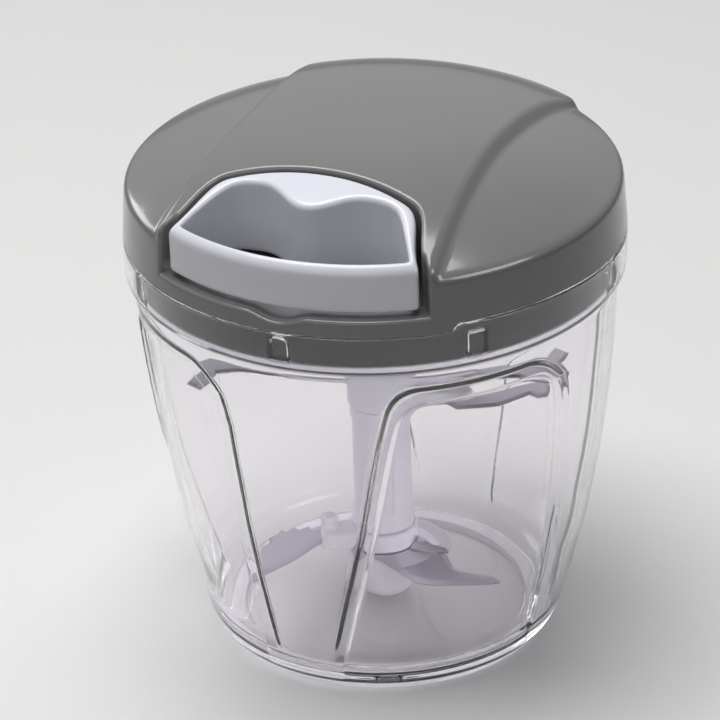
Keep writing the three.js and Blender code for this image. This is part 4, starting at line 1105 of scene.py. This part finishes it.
carrier = {
    "sleeve": (6.8, 8.9, 64.2, 99.2),
    # turn, length, width, foot
    "arms": [(17.7, 26.3, 8.0, 71.6), (197.7, 26.3, 8.0, 71.6), (5.7, 25.8, 8.0, 66.4)],
    "armThickness": 4.4,
    "collar": (5.5, 9.4, 21.3, 26.5),
    "clamp": (-17, -4, -7.7, 0.1, 21.3, 26.5), # along, across, up
    "knob": (-14.7, -2.3, 2.3, 30.0),
    "fingerTurn": -25,
    "finger": (7.5, 8.5, 16.0, 1.25), # start, start of its bend, end, radius
    "fingerBend": (2.4, 25.3, 3.1), # sideways, height of its start, fall
    "fingerFoot": 22.8,
    "lowerTurn": 18,
    "upperBox": ((-26.4, -12, 64.1), (26.4, 12, 99.3)),
    "lowerBox": ((-17.2, -9.6, 21.2), (17.4, 9.6, 30.1)),
    "upperCell": 0.5,
    "lowerCell": 0.36,
}


def armDistance(x, y, z, turn, length, width, foot):
    # An arm that narrows a little to a rounded end, with eased edges
    angle = np.radians(turn)
    along = x * np.cos(angle) + y * np.sin(angle)
    across = np.abs(y * np.cos(angle) - x * np.sin(angle))
    taper = across - width / 2 + 1.2 * np.clip((along - 9) / 17, 0, 1)
    plan = roundMax(roundMax(taper, along - length, 3.5), -along, 0.5)
    half = carrier["armThickness"] / 2
    return roundMax(plan, np.abs(z - foot - half) - half, 1.2)


def upperCarrierDistance(x, y, z):
    inner, outer, bottom, top = carrier["sleeve"]
    r = np.hypot(x, y)
    body = roundMax(r - outer, np.maximum(bottom - z, z - top), 0.8)
    for arm in carrier["arms"]:
        body = roundMin(body, armDistance(x, y, z, *arm), 1.6)
    return np.maximum(body, inner - r)


def lowerCarrierDistance(x, y, z):
    # A collar with a clamp arm that carries the serrated blade, its upright knob, and a bent finger over
    # the sickle blade
    inner, outer, bottom, top = carrier["collar"]
    r = np.hypot(x, y)
    body = roundMax(r - outer, np.maximum(bottom - z, z - top), 1.0)
    end, root, front, back, foot, height = carrier["clamp"]
    arm = roundMax(np.maximum(end - x, x - root), np.maximum(front - y, y - back), 2.0)
    arm = roundMax(arm, np.maximum(foot - z, z - height), 1.3)
    body = roundMin(body, arm, 1.2)
    cx, cy, radius, knobTop = carrier["knob"]
    knob = roundMax(np.hypot(x - cx, y - cy) - radius, np.maximum(z - knobTop, 24 - z), 1.0)
    body = roundMin(body, knob, 1.0)
    turn = np.radians(carrier["fingerTurn"])
    along, across = x * np.cos(turn) + y * np.sin(turn), y * np.cos(turn) - x * np.sin(turn)
    start, bend, tip, radius = carrier["finger"]
    sideways, height, fall = carrier["fingerBend"]
    share = np.clip((along - bend) / (tip - bend), 0, 1)
    across, up = across - sideways * share * (1 - share), z - (height - fall * share**1.6)
    finger = np.sqrt(np.maximum(along - tip, 0) ** 2 + across**2 + up**2) - radius
    finger = np.maximum(np.maximum(finger, start - along), carrier["fingerFoot"] - z)
    body = roundMin(body, finger, 1.2)
    return np.maximum(body, inner - r)


upper = solidPiece("upper_carrier", upperCarrierDistance, carrier["upperBox"], carrier["upperCell"])
stand(upper, "blades", ["upper_blade_carrier"], "shaft_plastic")
turn = carrier["lowerTurn"] + bladesTurn
lower = solidPiece("lower_carrier", lowerCarrierDistance, carrier["lowerBox"], carrier["lowerCell"], turn)
stand(lower, "blades", ["lower_blade_carrier"], "shaft_plastic")


# Cord from the eyelet to the handle

cord = {"from": -26.3, "to": -36.2, "radius": 1.1, "height": 127.4}


def makeCord():
    along = np.linspace(cord["from"], cord["to"], 34)[:, None]
    turn = np.linspace(0, 2 * np.pi, 16, endpoint=False)[None, :]
    radius = cord["radius"] - 0.12 * (0.5 + 0.5 * np.cos(2 * turn + along * 3.2)) + 0 * along
    tube = np.stack([radius * np.cos(turn), along + 0 * turn, cord["height"] + radius * np.sin(turn)], -1)
    start, end = (np.tile([0, cord[key], cord["height"]], (1, 16, 1)) for key in ("from", "to"))
    piece = gridPiece("pull_cord", np.concatenate([start, tube, end]), 60)
    piece.data.materials.append(finishes["cord_fibre"])
    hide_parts("cord_lead")
    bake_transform(piece)


makeCord()


# CAD nodes that keep their mesh

slots = {part["node"]: part["material_slot"] for part in frame["record"]["subparts"]}
for name, node in frame["nodes"].items():
    node.data.materials.clear()
    node.data.materials.append(finishes[slots[name]])
